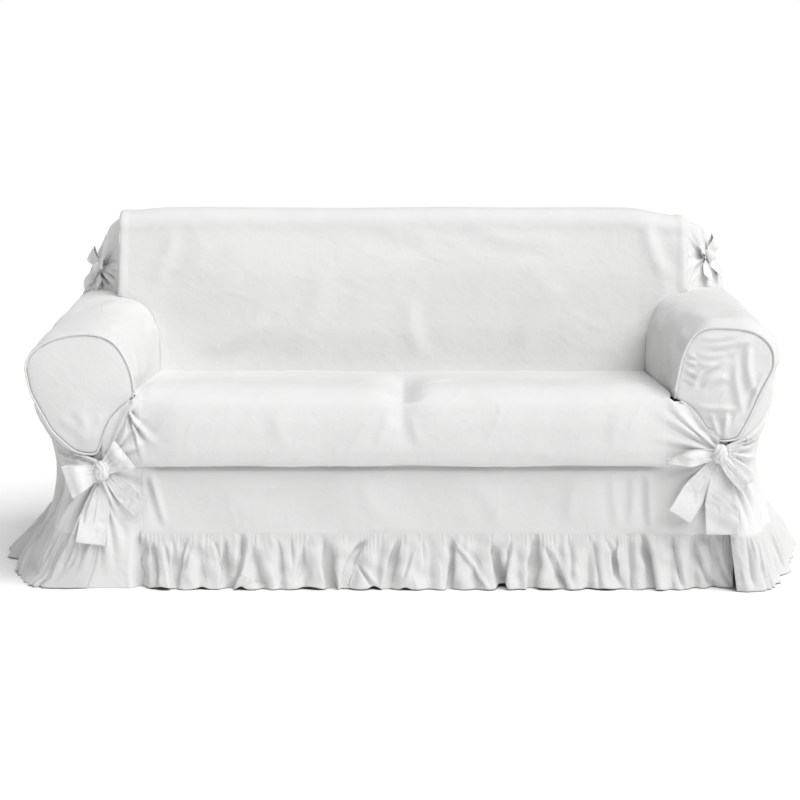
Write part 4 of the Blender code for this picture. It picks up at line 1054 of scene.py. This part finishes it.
def skirt_folds(side, z, y):
    """How far the skirt's folds reach in: bells that move and deepen from their top to the hem."""
    low = np.clip((FOLD_TOP_Z - z) / FOLD_TOP_Z, 0.0, 1.0)
    total = np.zeros(np.broadcast(z, y).shape)
    for top_y, hem_y, depth, half in SKIRT_FOLDS[side]:
        middle = top_y + (hem_y - top_y) * low
        total += depth * low**0.8 * np.exp(-(((y - middle) / half) ** 2))
    return total


def skirt_plan(side, z, t):
    """Points (x, y) of the skirt at height z: along the side, then a quadratic curve round the corner."""
    start_y = np.full(z.shape, CORNER_START_Y)
    face_y = np.full(z.shape, FACE_Y)
    y_back = outside_back_y(z) - 0.0015
    y_side = y_back + (start_y - y_back) * np.clip(t / CORNER_SHARE, 0.0, 1.0)
    drawn = DRAWN_IN[side] * ease(z / 0.03) * ease((0.34 - z) / 0.12)
    before_back = ease((BACK_Y - 0.02 - y_side) / 0.05)
    x_side = skirt_side_x(side, z, y_side) - skirt_folds(side, z, y_side) * before_back
    x_side = x_side - drawn * ease((SLIT_Y - y_side) / 0.030)
    x_start = skirt_side_x(side, z, start_y) - skirt_folds(side, z, start_y) - drawn
    edge = np.array(EDGE_ROWS[side])
    x_edge = np.interp(-z, -edge[:, 0], edge[:, 1])
    y_edge = np.interp(-z, -edge[:, 0], edge[:, 2])
    reach = np.clip((0.30 - z) / 0.30, 0.0, 1.0) ** 1.2
    x_corner = np.maximum(skirt_side_x(side, z, face_y) - drawn, x_edge)
    x_corner = x_corner + (x_edge - x_corner) * ease((z - 0.47) / 0.05)
    y_corner = y_edge + (FLAP_Y[side] - y_edge) * reach
    f = np.clip((t - CORNER_SHARE) / (1 - CORNER_SHARE), 0.0, 1.0)
    x = (1 - f) ** 2 * x_start + 2 * f * (1 - f) * x_corner + f**2 * x_edge
    y = (1 - f) ** 2 * start_y + 2 * f * (1 - f) * y_corner + f**2 * y_edge
    on_side = t <= CORNER_SHARE
    return np.where(on_side, x_side, x), np.where(on_side, y_side, y)


def skirt_shares(count):
    """Places along the skirt from the back to the flap's edge, closer together round the corner."""
    rear, near_corner = round(count * 0.40), round(count * 0.26)
    before_slit = 0.53
    return np.concatenate([np.linspace(0, before_slit, rear, endpoint=False),
                           np.linspace(before_slit, CORNER_SHARE, near_corner, endpoint=False),
                           np.linspace(CORNER_SHARE, 1, count - rear - near_corner)])


def skirt_relief(side, z, t, plain):
    """Heights of the finer folds on the plain shape, which run on from the skirt into its ruffle."""
    _, _, to_rear, to_edge = to_borders(plain)
    height = fold_lines(to_edge, z, TIE_FANS[side], fan=True)
    height += fold_lines(plain[..., 1], z, SIDE_FOLDS[side]) * ease((CORNER_SHARE + 0.05 - t) / 0.1)
    height += 0.0011 * crumple(plain, 0.09, 81) + 0.0020 * unevenness(plain, 0.20, 82)
    return height * ease(to_rear / 0.02) * ease(to_edge / 0.008)


for side in ARM_ROWS:
    z, t = grid_of(np.linspace(RUFFLE_Z - 0.005, ARM_SEAM_Z + 0.001, 90), skirt_shares(166))
    x, y = skirt_plan(side, z, t)
    skirt_grid = stacked(mirrored(side, x), y, z)
    _, to_roll, to_rear, to_edge = to_borders(skirt_grid)
    height = skirt_relief(side, z, t, skirt_grid) * ease(to_roll / 0.02)
    height += seam(to_roll) + tucked(RUFFLE_Z - z)
    height += seam(to_rear) - 0.0006 * ease((to_edge - 0.012) / 0.002)
    skirt_grid = pushed(skirt_grid, height, outward(side))
    lay_cloth(f"side_skirt_{side}", skirt_grid, outward(side), panel_cotton)

# -----------------------------------------------------------------------------
# Ruffles: strips of the same cotton, gathered into the seam under the skirts and the apron and hanging to the
# floor in full, uneven folds. Their hems are turned up and stitched.
# -----------------------------------------------------------------------------
HEM_Z = 0.0020  # height of the hems over the floor
RUFFLE_HEM = 0.020  # how much of them is turned up
RUFFLE_STITCH = 0.0195  # how far their stitches lie from the edge
RUFFLE_SWING = 0.036  # how far the front ruffle swings out at the floor
RUFFLE_END_X = FRONT_PANELS["right"][1]  # its right end, hidden under the flap
BEHIND_FLAP = 0.036  # how far it hangs back under the right flap
VALLEY_SHARE = 0.68  # of the depths below
# valleys of the front ruffle: x at the seam, x at the hem, depth at the hem, half width
FRONT_FOLDS = (
    (-0.588, -0.598, 0.024, 0.014),
    (-0.529, -0.540, 0.021, 0.013),
    (-0.478, -0.484, 0.015, 0.016),
    (-0.421, -0.417, 0.026, 0.012),
    (-0.371, -0.331, 0.027, 0.014),
    (-0.300, -0.290, 0.015, 0.011),
    (-0.232, -0.238, 0.018, 0.015),
    (-0.169, -0.172, 0.026, 0.012),
    (-0.090, -0.130, 0.027, 0.014),
    (-0.050, -0.066, 0.013, 0.011),
    (-0.005, -0.028, 0.026, 0.013),
    (0.060, 0.064, 0.017, 0.015),
    (0.114, 0.119, 0.021, 0.012),
    (0.168, 0.176, 0.015, 0.013),
    (0.224, 0.236, 0.028, 0.012),
    (0.272, 0.276, 0.013, 0.013),
    (0.319, 0.312, 0.024, 0.012),
    (0.366, 0.376, 0.018, 0.013),
    (0.443, 0.440, 0.024, 0.013),
    (0.500, 0.520, 0.019, 0.014),
    (0.574, 0.586, 0.027, 0.013),
    (0.630, 0.640, 0.018, 0.012),
    (0.690, 0.696, 0.021, 0.012),
    (0.745, 0.742, 0.015, 0.012),
)


def gathers(along, drop, seed):
    """Fine uneven pleats that start at the seam, about 1 cm apart, and fade at 0.3 to 0.7 of the drop.

    A sine of the place along the seam, its pace, height and reach each varied by an uneven field."""
    place = stacked(along, 0 * along, 0 * along)
    pace = along / 0.0105 + 1.6 * unevenness(place, 0.07, seed)
    pace = pace + 0.4 * drop * unevenness(place, 0.04, seed + 1)
    strength = 0.6 + 0.4 * unevenness(place, 0.05, seed + 2)
    reach = 0.50 + 0.20 * unevenness(place, 0.035, seed + 3)
    return 0.0021 * strength * np.sin(2 * np.pi * pace) * ease(drop / 0.06) * np.clip(1 - drop / reach, 0, 1)


def creases(along, drop, rows):
    """Narrow creases of a gathered strip, each along a bowed line, with a soft ridge on the side of its sign.

    A row holds: place and drop at the start, the same at the end, bowed, half width, depth, ridge height."""
    total = np.zeros(np.broadcast(along, drop).shape)
    for a0, d0, a1, d1, bowed, half, depth, ridge in rows:
        t = np.clip((drop - d0) / (d1 - d0), -0.3, 1.3)
        aside = along - (a0 + (a1 - a0) * t + bowed * 4 * t * (1 - t))
        strength = ease((t + 0.12) / 0.35) * ease((1.25 - t) / 0.35)
        beside = aside - np.sign(ridge) * 2.0 * half
        total -= depth * strength * np.exp(-np.abs(aside / half) ** 1.6)
        total += abs(ridge) * strength * np.exp(-((beside / (1.5 * half)) ** 2))
    return total


def scattered_creases(start, end, count, seed):
    """Rows for creases() at uneven places between start and end."""
    rng = np.random.default_rng(seed)
    places = start + (end - start) * (np.arange(count) + rng.uniform(0.1, 0.9, count)) / count
    lean = rng.uniform(-0.016, 0.016, count)
    first, last = rng.uniform(0.02, 0.25, count), rng.uniform(0.55, 1.05, count)
    bowed, half = rng.uniform(-0.004, 0.004, count), rng.uniform(0.0035, 0.0075, count)
    depth = rng.uniform(0.0030, 0.0085, count)
    ridge = rng.uniform(0.0010, 0.0035, count) * rng.choice([-1.0, 1.0], count)
    return np.stack([places, first, places + lean, last, bowed, half, depth, ridge], axis=1)


# start of the side ruffles' uneven fullness, seed of their creases
SIDE_RUFFLES = {"left": (1.0, 93), "right": (2.2, 94)}
SIDE_WAVES = 14
SIDE_WAVE = 0.0080  # their depth at the hem
# painted shade: the ruffles are the panels' cotton made greyer, for the shade in their gathered folds near
# the floor; their stitches are real
ruffle_cotton = cotton("ruffle_cotton", toned(0.90), stitches=(RUFFLE_STITCH,))
for side, (start, seed) in SIDE_RUFFLES.items():
    z, t = grid_of(np.linspace(HEM_Z, RUFFLE_Z + 0.005, 37), skirt_shares(300))
    x, y = skirt_plan(side, z, t)
    tangent = np.stack([np.gradient(x, axis=1), np.gradient(y, axis=1)], axis=-1)
    tangent /= np.linalg.norm(tangent, axis=-1, keepdims=True)
    drop = np.maximum(RUFFLE_Z - z, 0) / RUFFLE_Z
    uneven = 0.62 + 0.30 * np.sin(5.3 * np.pi * t + start) - 0.22 * ease((t - 0.55) / 0.2)
    ends = ease(t / 0.05) * ease((1 - t) / 0.05)
    turns = SIDE_WAVES * t + 0.45 * np.sin(3.1 * np.pi * t) + 0.22 * np.sin(37.0 * t + 3.0 * drop)
    wave = SIDE_WAVE * uneven * ends * drop**0.8 * np.sin(2 * np.pi * turns)
    relief = skirt_relief(side, z, t, stacked(mirrored(side, x), y, z))
    x = x - tangent[..., 1] * wave + 0.004 * drop * ends
    y = y + tangent[..., 0] * wave
    side_grid = stacked(mirrored(side, x), y, z)
    along = run_of(side_grid[-1:], 1) + 0 * z
    length = float(along.max())
    height = relief * (1 - 0.3 * drop) + gathers(along, drop, 91) + tucked(z - RUFFLE_Z)
    height += creases(along, drop, scattered_creases(0.02, length - 0.02, 30, seed)) * ends
    flat_place = stacked(along, 0 * along, z)
    height += 0.0030 * unevenness(flat_place, 0.055, 92) * ease(drop / 0.25) * ends
    height += 0.0010 * crumple(flat_place, 0.045, 89) * ease(drop / 0.1)
    side_grid = pushed(side_grid, height + hemmed(z - HEM_Z, RUFFLE_HEM), outward(side))
    lay_cloth(f"side_ruffle_{side}", side_grid, outward(side), ruffle_cotton)

CREASE_SHARE = 1.25  # of the depths and ridges below
# its creases: x and share of the drop at the start, the same at the end, bowed, half width, depth, ridge
FRONT_CREASES = (
    (-0.598, 0.15, -0.586, 0.90, 0.003, 0.0050, 0.0080, 0.0020),
    (-0.567, 0.20, -0.548, 1.00, 0.002, 0.0045, 0.0060, -0.0025),
    (-0.548, 0.12, -0.539, 0.90, 0.002, 0.0040, 0.0065, 0.0020),
    (-0.516, 0.12, -0.535, 0.85, -0.004, 0.0045, 0.0070, 0.0022),
    (-0.506, 0.20, -0.520, 0.60, 0.000, 0.0040, 0.0040, 0.0015),
    (-0.449, 0.15, -0.430, 0.60, 0.003, 0.0042, 0.0065, -0.0015),
    (-0.424, 0.10, -0.428, 0.95, 0.004, 0.0045, 0.0080, 0.0020),
    (-0.383, 0.05, -0.412, 1.00, 0.010, 0.0065, 0.0150, 0.0060),
    (-0.400, 0.75, -0.335, 0.88, -0.003, 0.0060, 0.0040, -0.0030),
    (-0.298, 0.12, -0.290, 0.70, 0.003, 0.0050, 0.0050, -0.0020),
    (-0.266, 0.10, -0.262, 0.55, 0.000, 0.0045, 0.0035, 0.0015),
    (-0.238, 0.25, -0.255, 0.90, 0.006, 0.0050, 0.0045, 0.0020),
    (-0.190, 0.08, -0.166, 1.00, 0.000, 0.0110, 0.0140, 0.0030),
    (-0.091, 0.15, -0.141, 1.00, -0.012, 0.0070, 0.0125, 0.0050),
    (-0.103, 0.60, -0.075, 0.95, 0.002, 0.0050, 0.0070, 0.0040),
    (-0.013, 0.15, -0.040, 1.00, 0.002, 0.0065, 0.0130, 0.0035),
    (0.020, 0.30, 0.004, 0.75, 0.000, 0.0045, 0.0040, 0.0020),
    (0.045, 0.15, 0.050, 0.55, 0.002, 0.0045, 0.0035, 0.0012),
    (0.116, 0.12, 0.112, 1.00, 0.004, 0.0048, 0.0110, 0.0030),
    (0.118, 0.20, 0.188, 0.90, 0.004, 0.0045, 0.0025, 0.0055),
    (0.214, 0.22, 0.240, 1.00, 0.002, 0.0070, 0.0160, 0.0030),
    (0.256, 0.18, 0.238, 0.95, -0.002, 0.0050, 0.0090, 0.0035),
    (0.316, 0.05, 0.308, 1.00, 0.002, 0.0100, 0.0120, 0.0035),
    (0.338, 0.25, 0.386, 0.98, 0.003, 0.0065, 0.0080, 0.0060),
    (0.397, 0.15, 0.400, 0.75, 0.002, 0.0060, 0.0040, 0.0020),
    (0.450, 0.12, 0.466, 0.95, 0.002, 0.0070, 0.0065, 0.0020),
    (0.488, 0.15, 0.508, 0.70, 0.006, 0.0050, 0.0085, 0.0030),
    (0.508, 0.15, 0.512, 0.80, -0.004, 0.0045, 0.0065, 0.0025),
    (0.538, 0.02, 0.540, 1.00, 0.000, 0.0110, 0.0100, 0.0020),
    (0.570, 0.02, 0.596, 1.00, 0.002, 0.0070, 0.0125, 0.0055),
    (0.640, 0.05, 0.664, 0.90, -0.006, 0.0080, 0.0090, 0.0030),
    (0.690, 0.05, 0.735, 0.90, -0.012, 0.0080, 0.0090, 0.0035),
    (0.735, 0.05, 0.770, 0.80, -0.008, 0.0070, 0.0070, 0.0030),
)
# where the hem is off the floor: x, half width, height
RAISED_HEM = (
    (-0.575, 0.020, 0.0065),
    (-0.475, 0.012, 0.0050),
    (-0.383, 0.009, 0.0070),
    (-0.217, 0.024, 0.0060),
    (-0.068, 0.014, 0.0070),
    (0.006, 0.012, 0.0060),
    (0.236, 0.011, 0.0130),
    (0.330, 0.030, 0.0030),
    (0.470, 0.040, 0.0030),
)
z, x = grid_of(np.linspace(HEM_Z, RUFFLE_Z + 0.005, 41), np.linspace(-HALF_SEAT - 0.004, RUFFLE_END_X, 600))
drop = np.maximum(RUFFLE_Z - z, 0) / RUFFLE_Z
puff = 0.55 + 0.45 * unevenness(stacked(x, 0 * x, 0.3 * z), 0.11, 97)
y = apron_foot_y(x) - RUFFLE_SWING * drop - 0.006 * puff * ease(drop / 0.4)
for seam_x, hem_x, depth, half in FRONT_FOLDS:
    middle = seam_x + (hem_x - seam_x) * drop
    y = y + VALLEY_SHARE * depth * ease(drop / 0.6) * np.exp(-(((x - middle) / half) ** 2))
y = y + BEHIND_FLAP * drop * ease((x - 0.63) / 0.09)
y = y + (apron_foot_y(x) + 0.018 - y) * ease((0.022 - HALF_SEAT - x) / 0.024) * ease(drop / 0.3)
raised = sum(high * np.exp(-(((x - at) / wide) ** 2)) for at, wide, high in RAISED_HEM)
front_grid = stacked(x, y, z + raised * ease((drop - 0.55) / 0.45))
loose = 0.0012 * crumple(front_grid, 0.045, 96) + 0.0028 * unevenness(front_grid, 0.050, 98)
height = gathers(x, drop, 95) + CREASE_SHARE * creases(x, drop, FRONT_CREASES) + tucked(z - RUFFLE_Z)
height += loose * ease(drop / 0.25) + hemmed(z - HEM_Z, RUFFLE_HEM)
front_grid = pushed(front_grid, height, (0, -1, 0))
lay_cloth("front_ruffle", front_grid, (0, -1, 0), ruffle_cotton)

# -----------------------------------------------------------------------------
# Bows: wide hemmed ribbons of the same cotton, tied at the fronts of the arms and at the back's corners. Each
# has a pair of loops in one strip, a pair of tails in one strip behind them, and a knot round both.
# -----------------------------------------------------------------------------
# where it is tied, which way is out, size, how far out the knot starts
BOWS = {
    "front_left": ((-0.709, -0.4329, 0.287), (0.0, -1.0, 0.0), 1.0, 0.0105),
    "front_right": ((0.749, -0.4342, 0.326), (0.0, -1.0, 0.0), 1.0, 0.0112),
    "back_left": ((-0.8155, 0.356, 0.704), (-0.84, -0.46, 0.28), 0.72, 0.0109),
    "back_right": ((0.8172, 0.357, 0.739), (0.84, -0.46, 0.28), 0.72, 0.0139),
}
# across, up (from the knot to the middle of the end), half width of the end, how pointed it is
BOW_LOOPS = {
    "front_left": ((-0.082, -0.027, 0.040, 0.0), (0.056, 0.042, 0.040, 0.0)),
    "front_right": ((-0.125, -0.016, 0.026, 0.9), (0.062, -0.072, 0.028, 0.3)),
    "back_left": ((-0.070, 0.062, 0.032, 0.2), (0.078, 0.030, 0.030, 0.0)),
    "back_right": ((-0.078, 0.034, 0.030, 0.3), (0.074, 0.054, 0.032, 0.0)),
}
# across, up, half width of the end, how far the end stands out, how far its one edge is turned outwards
BOW_TAILS = {
    "front_left": ((-0.031, -0.176, 0.034, 0.022, -0.16), (0.091, -0.092, 0.026, 0.020, 0.20)),
    "front_right": ((-0.095, -0.149, 0.031, 0.020, -0.18), (0.006, -0.190, 0.038, 0.040, 0.24)),
    "back_left": ((-0.070, -0.060, 0.028, 0.024, 0.2), (0.064, -0.068, 0.028, 0.020, -0.2)),
    "back_right": ((-0.062, -0.084, 0.028, 0.018, 0.2), (0.068, -0.076, 0.028, 0.022, -0.2)),
}
RIBBON = 0.0012  # its thickness
KNOT = (0.021, 0.024, 0.020)  # half its width, half its height, how far it rises
WRAP = 0.0118  # width of the wraps that lie side by side over a knot
WRAP_DEPTH = 0.0036
PINCH = 0.011  # half width of the ribbon in the knot
LOOP_DEPTH = 0.014
LOOP_LAYERS = ((0.0082, 0.0112), (0.0112, 0.0142))  # how far out each loop starts and ends in the knot
LOOP_OPENS = 0.026  # how far from the knot
TAIL_LIFT = 0.0045  # how far out the tails leave the knot
TAIL_FLAT = 0.20  # share of a tail that lies close


def bow_frame(place):
    """Where the bow is tied, three unit vectors across, up and out, and its size."""
    origin, out, size, _ = BOWS[place]
    out = np.array(out) / np.linalg.norm(out)
    across = np.cross(out, (0, 0, 1.0))
    across = -across / np.linalg.norm(across)
    up = np.cross(out, across)
    return np.array(origin), across, np.sign(up[2]) * up, out, size


def ribbon(place, path, half, width_way, reach, seed):
    """A strip along path, half wide to each side, with hemmed edges.

    Pleats with round backs and sharp valleys, the root of the size of a sine across it, start at the knot and
    fade with reach. Beyond them an uneven field and narrow creases crumple it."""
    origin, across, up, out, size = bow_frame(place)
    w = np.linspace(-1.0, 1.0, 29)
    local = path[:, None] + width_way[:, None] * (half[:, None] * w)[..., None]
    drift = unevenness(stacked(w, 0 * w, 0 * w), 0.9, seed)
    pleats = np.sqrt(np.abs(np.sin(np.pi * (1.8 * w + 0.35 * drift + 0.3)))) - 0.6
    lift = 0.0050 * pleats * (np.exp(-reach / 0.036) * ease(reach / 0.010))[:, None]
    loose = ease((reach - 0.010) / 0.03)[:, None]
    lift += (0.0026 * unevenness(local, 0.046, seed + 1) - 0.0026 * crumple(local, 0.030, seed + 2)) * loose
    lift += 0.0006 * ease((np.abs(w) - 0.84) / 0.03)
    local[..., 2] += lift
    return origin + local @ np.array((across, up, out)) * size


def across_line(direction):
    """Unit vector along direction in the bow's plane, and the one square to it."""
    way = np.array(direction) / np.linalg.norm(direction)
    return way, np.array((-way[1], way[0]))


def end_to_end(first, second):
    """Values along the first tail from its end to the knot, and on along the second to its end."""
    return np.concatenate([first[::-1], second[1:]])


ribbon_cotton = cotton("ribbon_cotton", toned(1.02))
for number, place in enumerate(BOWS):
    origin, across, up, out, size = bow_frame(place)
    paths, halves, ways, reaches = [], [], [], []
    for (dx, dz, end_half, pointed), (first, last) in zip(BOW_LOOPS[place], LOOP_LAYERS):
        way, square = across_line((dx, dz))
        length = np.hypot(dx, dz)
        turn = np.linspace(0, 2 * np.pi, 61)
        share = (1 - np.cos(turn)) / 2
        along = length * share
        opened = ease((along - LOOP_OPENS) / (0.5 * length))
        flattened = 1 - 0.8 * ease((share - 0.25) / 0.75)
        lifted = first + (last - first) * turn / (2 * np.pi)
        lifted += LOOP_DEPTH * opened * (1 - np.sin(turn) * flattened)
        flip = 1 if not paths else -1
        paths.append(np.column_stack([way[0] * along, way[1] * along, lifted]))
        narrowed = 1 - pointed * 0.86 * ease((share - 0.45) / 0.55)
        halves.append((PINCH + (end_half - PINCH) * np.clip(share * 1.08, 0, 1) ** 0.9) * narrowed)
        ways.append(np.tile((square[0] * flip, square[1] * flip, 0.0), (len(turn), 1)))
        reaches.append(along)
    turned = np.sign((ways[0][-1] * ways[1][0]).sum()) or 1.0
    path = np.concatenate([paths[0][:-1], paths[1]])
    half = np.concatenate([halves[0][:-1], halves[1]])
    width_way = np.concatenate([ways[0][:-1], ways[1] * turned])
    reach = np.concatenate([reaches[0][:-1], reaches[1]])
    loops_grid = ribbon(place, path, half, width_way, reach, 110 + 10 * number)
    flat = (2 * size * sum(np.hypot(dx, dz) for dx, dz, _, _ in BOW_LOOPS[place]), 2 * size * halves[0].max())
    lay_cloth(f"bow_{place}_loops", loops_grid, (0, -1, 0), ribbon_cotton,
              thick=RIBBON)

    share = np.linspace(0, 1, 44)
    wave = 0.0030 * np.sin(2.6 * np.pi * share) * share
    paths, halves, squares, tilts, reaches = [], [], [], [], []
    for (dx, dz, end_half, end_out, end_tilt), swing in zip(BOW_TAILS[place], (wave, -wave)):
        lifted = TAIL_LIFT + (end_out - TAIL_LIFT) * np.maximum(share - TAIL_FLAT, 0.0) + swing
        paths.append(np.column_stack([dx * share, dz * share, lifted]))
        halves.append(PINCH + (end_half - PINCH) * ease(share * 1.5))
        squares.append(across_line((dx, dz))[1])
        tilts.append(end_tilt * ease(share))
        reaches.append(share * np.hypot(dx, dz))
    start, end = squares
    if start @ end > 0:
        end = -end
    turn = ease(np.linspace(-1.2, 1.2, 87) / 2 + 0.5)[:, None]
    square = (1 - turn) * start - turn * end
    square = square / np.maximum(np.linalg.norm(square, axis=1, keepdims=True), 0.2)
    width_way = np.column_stack([square, end_to_end(*tilts)])
    tails_grid = ribbon(place, end_to_end(*paths), end_to_end(*halves), width_way, end_to_end(*reaches),
                        115 + 10 * number)
    flat = (sum(reach[-1] for reach in reaches) * size, sum(row[2] for row in BOW_TAILS[place]) * size)
    lay_cloth(f"bow_{place}_tails", tails_grid, (0, -1, 0), ribbon_cotton,
              thick=RIBBON)

    turn, rise = grid_of(np.linspace(0, 2 * np.pi, 73), np.linspace(0, 1, 30))
    around = np.sqrt(np.clip(1 - rise**2.6, 0, 1))
    waist = 0.84 + 0.16 * np.sin(turn) ** 2
    a = KNOT[0] * waist * around * np.cos(turn)
    b = KNOT[1] * around * np.sin(turn)
    drift = unevenness(stacked(a, b, 0 * a), 0.03, 118 + 10 * number)
    slanted = 0.92 * a + (-0.4 if number % 2 else 0.4) * b
    wraps = np.sqrt(np.abs(np.sin(np.pi * (slanted / WRAP + 0.35 * drift)))) - 0.7
    c = BOWS[place][3] + KNOT[2] * rise + WRAP_DEPTH * wraps * ease(rise / 0.25)
    spread = 1 + 0.10 * wraps * ease(rise / 0.1)
    knot_grid = origin + np.stack([a * spread, b * spread, c], axis=-1) @ np.array((across, up, out)) * size
    knot = cloth_mesh(f"bow_{place}_knot_cloth", knot_grid, BOWS[place][1], ribbon_cotton, closed=True)
    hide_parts(f"bow_{place}_knot")

# -----------------------------------------------------------------------------
# Studio: a pale floor, soft light from the right and above, and the camera, which looks a little down. None
# of it is part of the cover.
# -----------------------------------------------------------------------------
FLOOR_HALF = 400  # half its length
# way to the light, strength, angle: a key light from the right front, and a weak one from behind on the left
LIGHTS = {
    "key_light": ((0.52, -0.46, 0.95), 3.05, 1.00),
    "rear_light": ((-0.55, 0.65, 0.60), 0.60, 1.20),
}
CAMERA_PLACE = (-0.006, -5.525, 1.13)
CAMERA_DOWN = 0.1321  # angle at which it looks down, in radians
CAMERA_LENS = 98.1

floor_mesh = bpy.data.meshes.new("studio_floor")
corners = [(-FLOOR_HALF, -FLOOR_HALF, 0), (FLOOR_HALF, -FLOOR_HALF, 0),
           (FLOOR_HALF, FLOOR_HALF, 0), (-FLOOR_HALF, FLOOR_HALF, 0)]
floor_mesh.from_pydata(corners, [], [(0, 1, 2, 3)])
floor = bpy.data.objects.new("studio_floor", floor_mesh)
bpy.context.scene.collection.objects.link(floor)
floor_paint = bpy.data.materials.new("floor_paint")
floor_paint.use_nodes = True
paint = floor_paint.node_tree.nodes["Principled BSDF"].inputs
paint["Base Color"].default_value = (0.96, 0.96, 0.96, 1.0)
paint["Roughness"].default_value = 0.9
floor_mesh.materials.append(floor_paint)

world = bpy.data.worlds.new("studio")
bpy.context.scene.world = world
world.use_nodes = True
sky = world.node_tree
way = new_node(sky, "ShaderNodeSeparateXYZ")
sky.links.new(new_node(sky, "ShaderNodeTexCoord").outputs["Generated"], way.inputs[0])


def eased_range(source, low, high, at_low, at_high):
    """A Map Range node: from at_low to at_high as the source goes from low to high, eased."""
    node = new_node(sky, "ShaderNodeMapRange", interpolation_type="SMOOTHSTEP")
    for name, value in zip(("From Min", "From Max", "To Min", "To Max"), (low, high, at_low, at_high)):
        node.inputs[name].default_value = value
    sky.links.new(source, node.inputs["Value"])
    return node.outputs[0]


# a bright band over the horizon, and above it a softer sky that is dimmer on the left
band = eased_range(way.outputs[2], 0.06, 0.16, 1.0, 0.0)
above = eased_range(way.outputs[2], 0.06, 0.16, 0.0, 1.0)
dimmer = eased_range(way.outputs[0], -0.95, 0.20, 0.08, 0.32)
strength = maths(sky, "ADD", band, maths(sky, "MULTIPLY", above, dimmer))
sky.links.new(strength, sky.nodes["Background"].inputs["Strength"])
sky.nodes["Background"].inputs["Color"].default_value = (1.0, 1.0, 1.0, 1.0)

for name, (way_to_light, energy, angle) in LIGHTS.items():
    light = bpy.data.objects.new(name, bpy.data.lights.new(name, "SUN"))
    light.data.energy = energy
    light.data.angle = angle
    light.rotation_euler = Vector(way_to_light).to_track_quat("Z", "Y").to_euler()
    bpy.context.scene.collection.objects.link(light)

camera_data = bpy.data.cameras.new("camera")
camera_data.lens = CAMERA_LENS
camera = bpy.data.objects.new("camera", camera_data)
camera.location = CAMERA_PLACE
camera.rotation_euler = (np.pi / 2 - CAMERA_DOWN, 0.0, 0.0)
bpy.context.scene.collection.objects.link(camera)
bpy.context.scene.camera = camera
bpy.context.scene.view_settings.view_transform = "Standard"
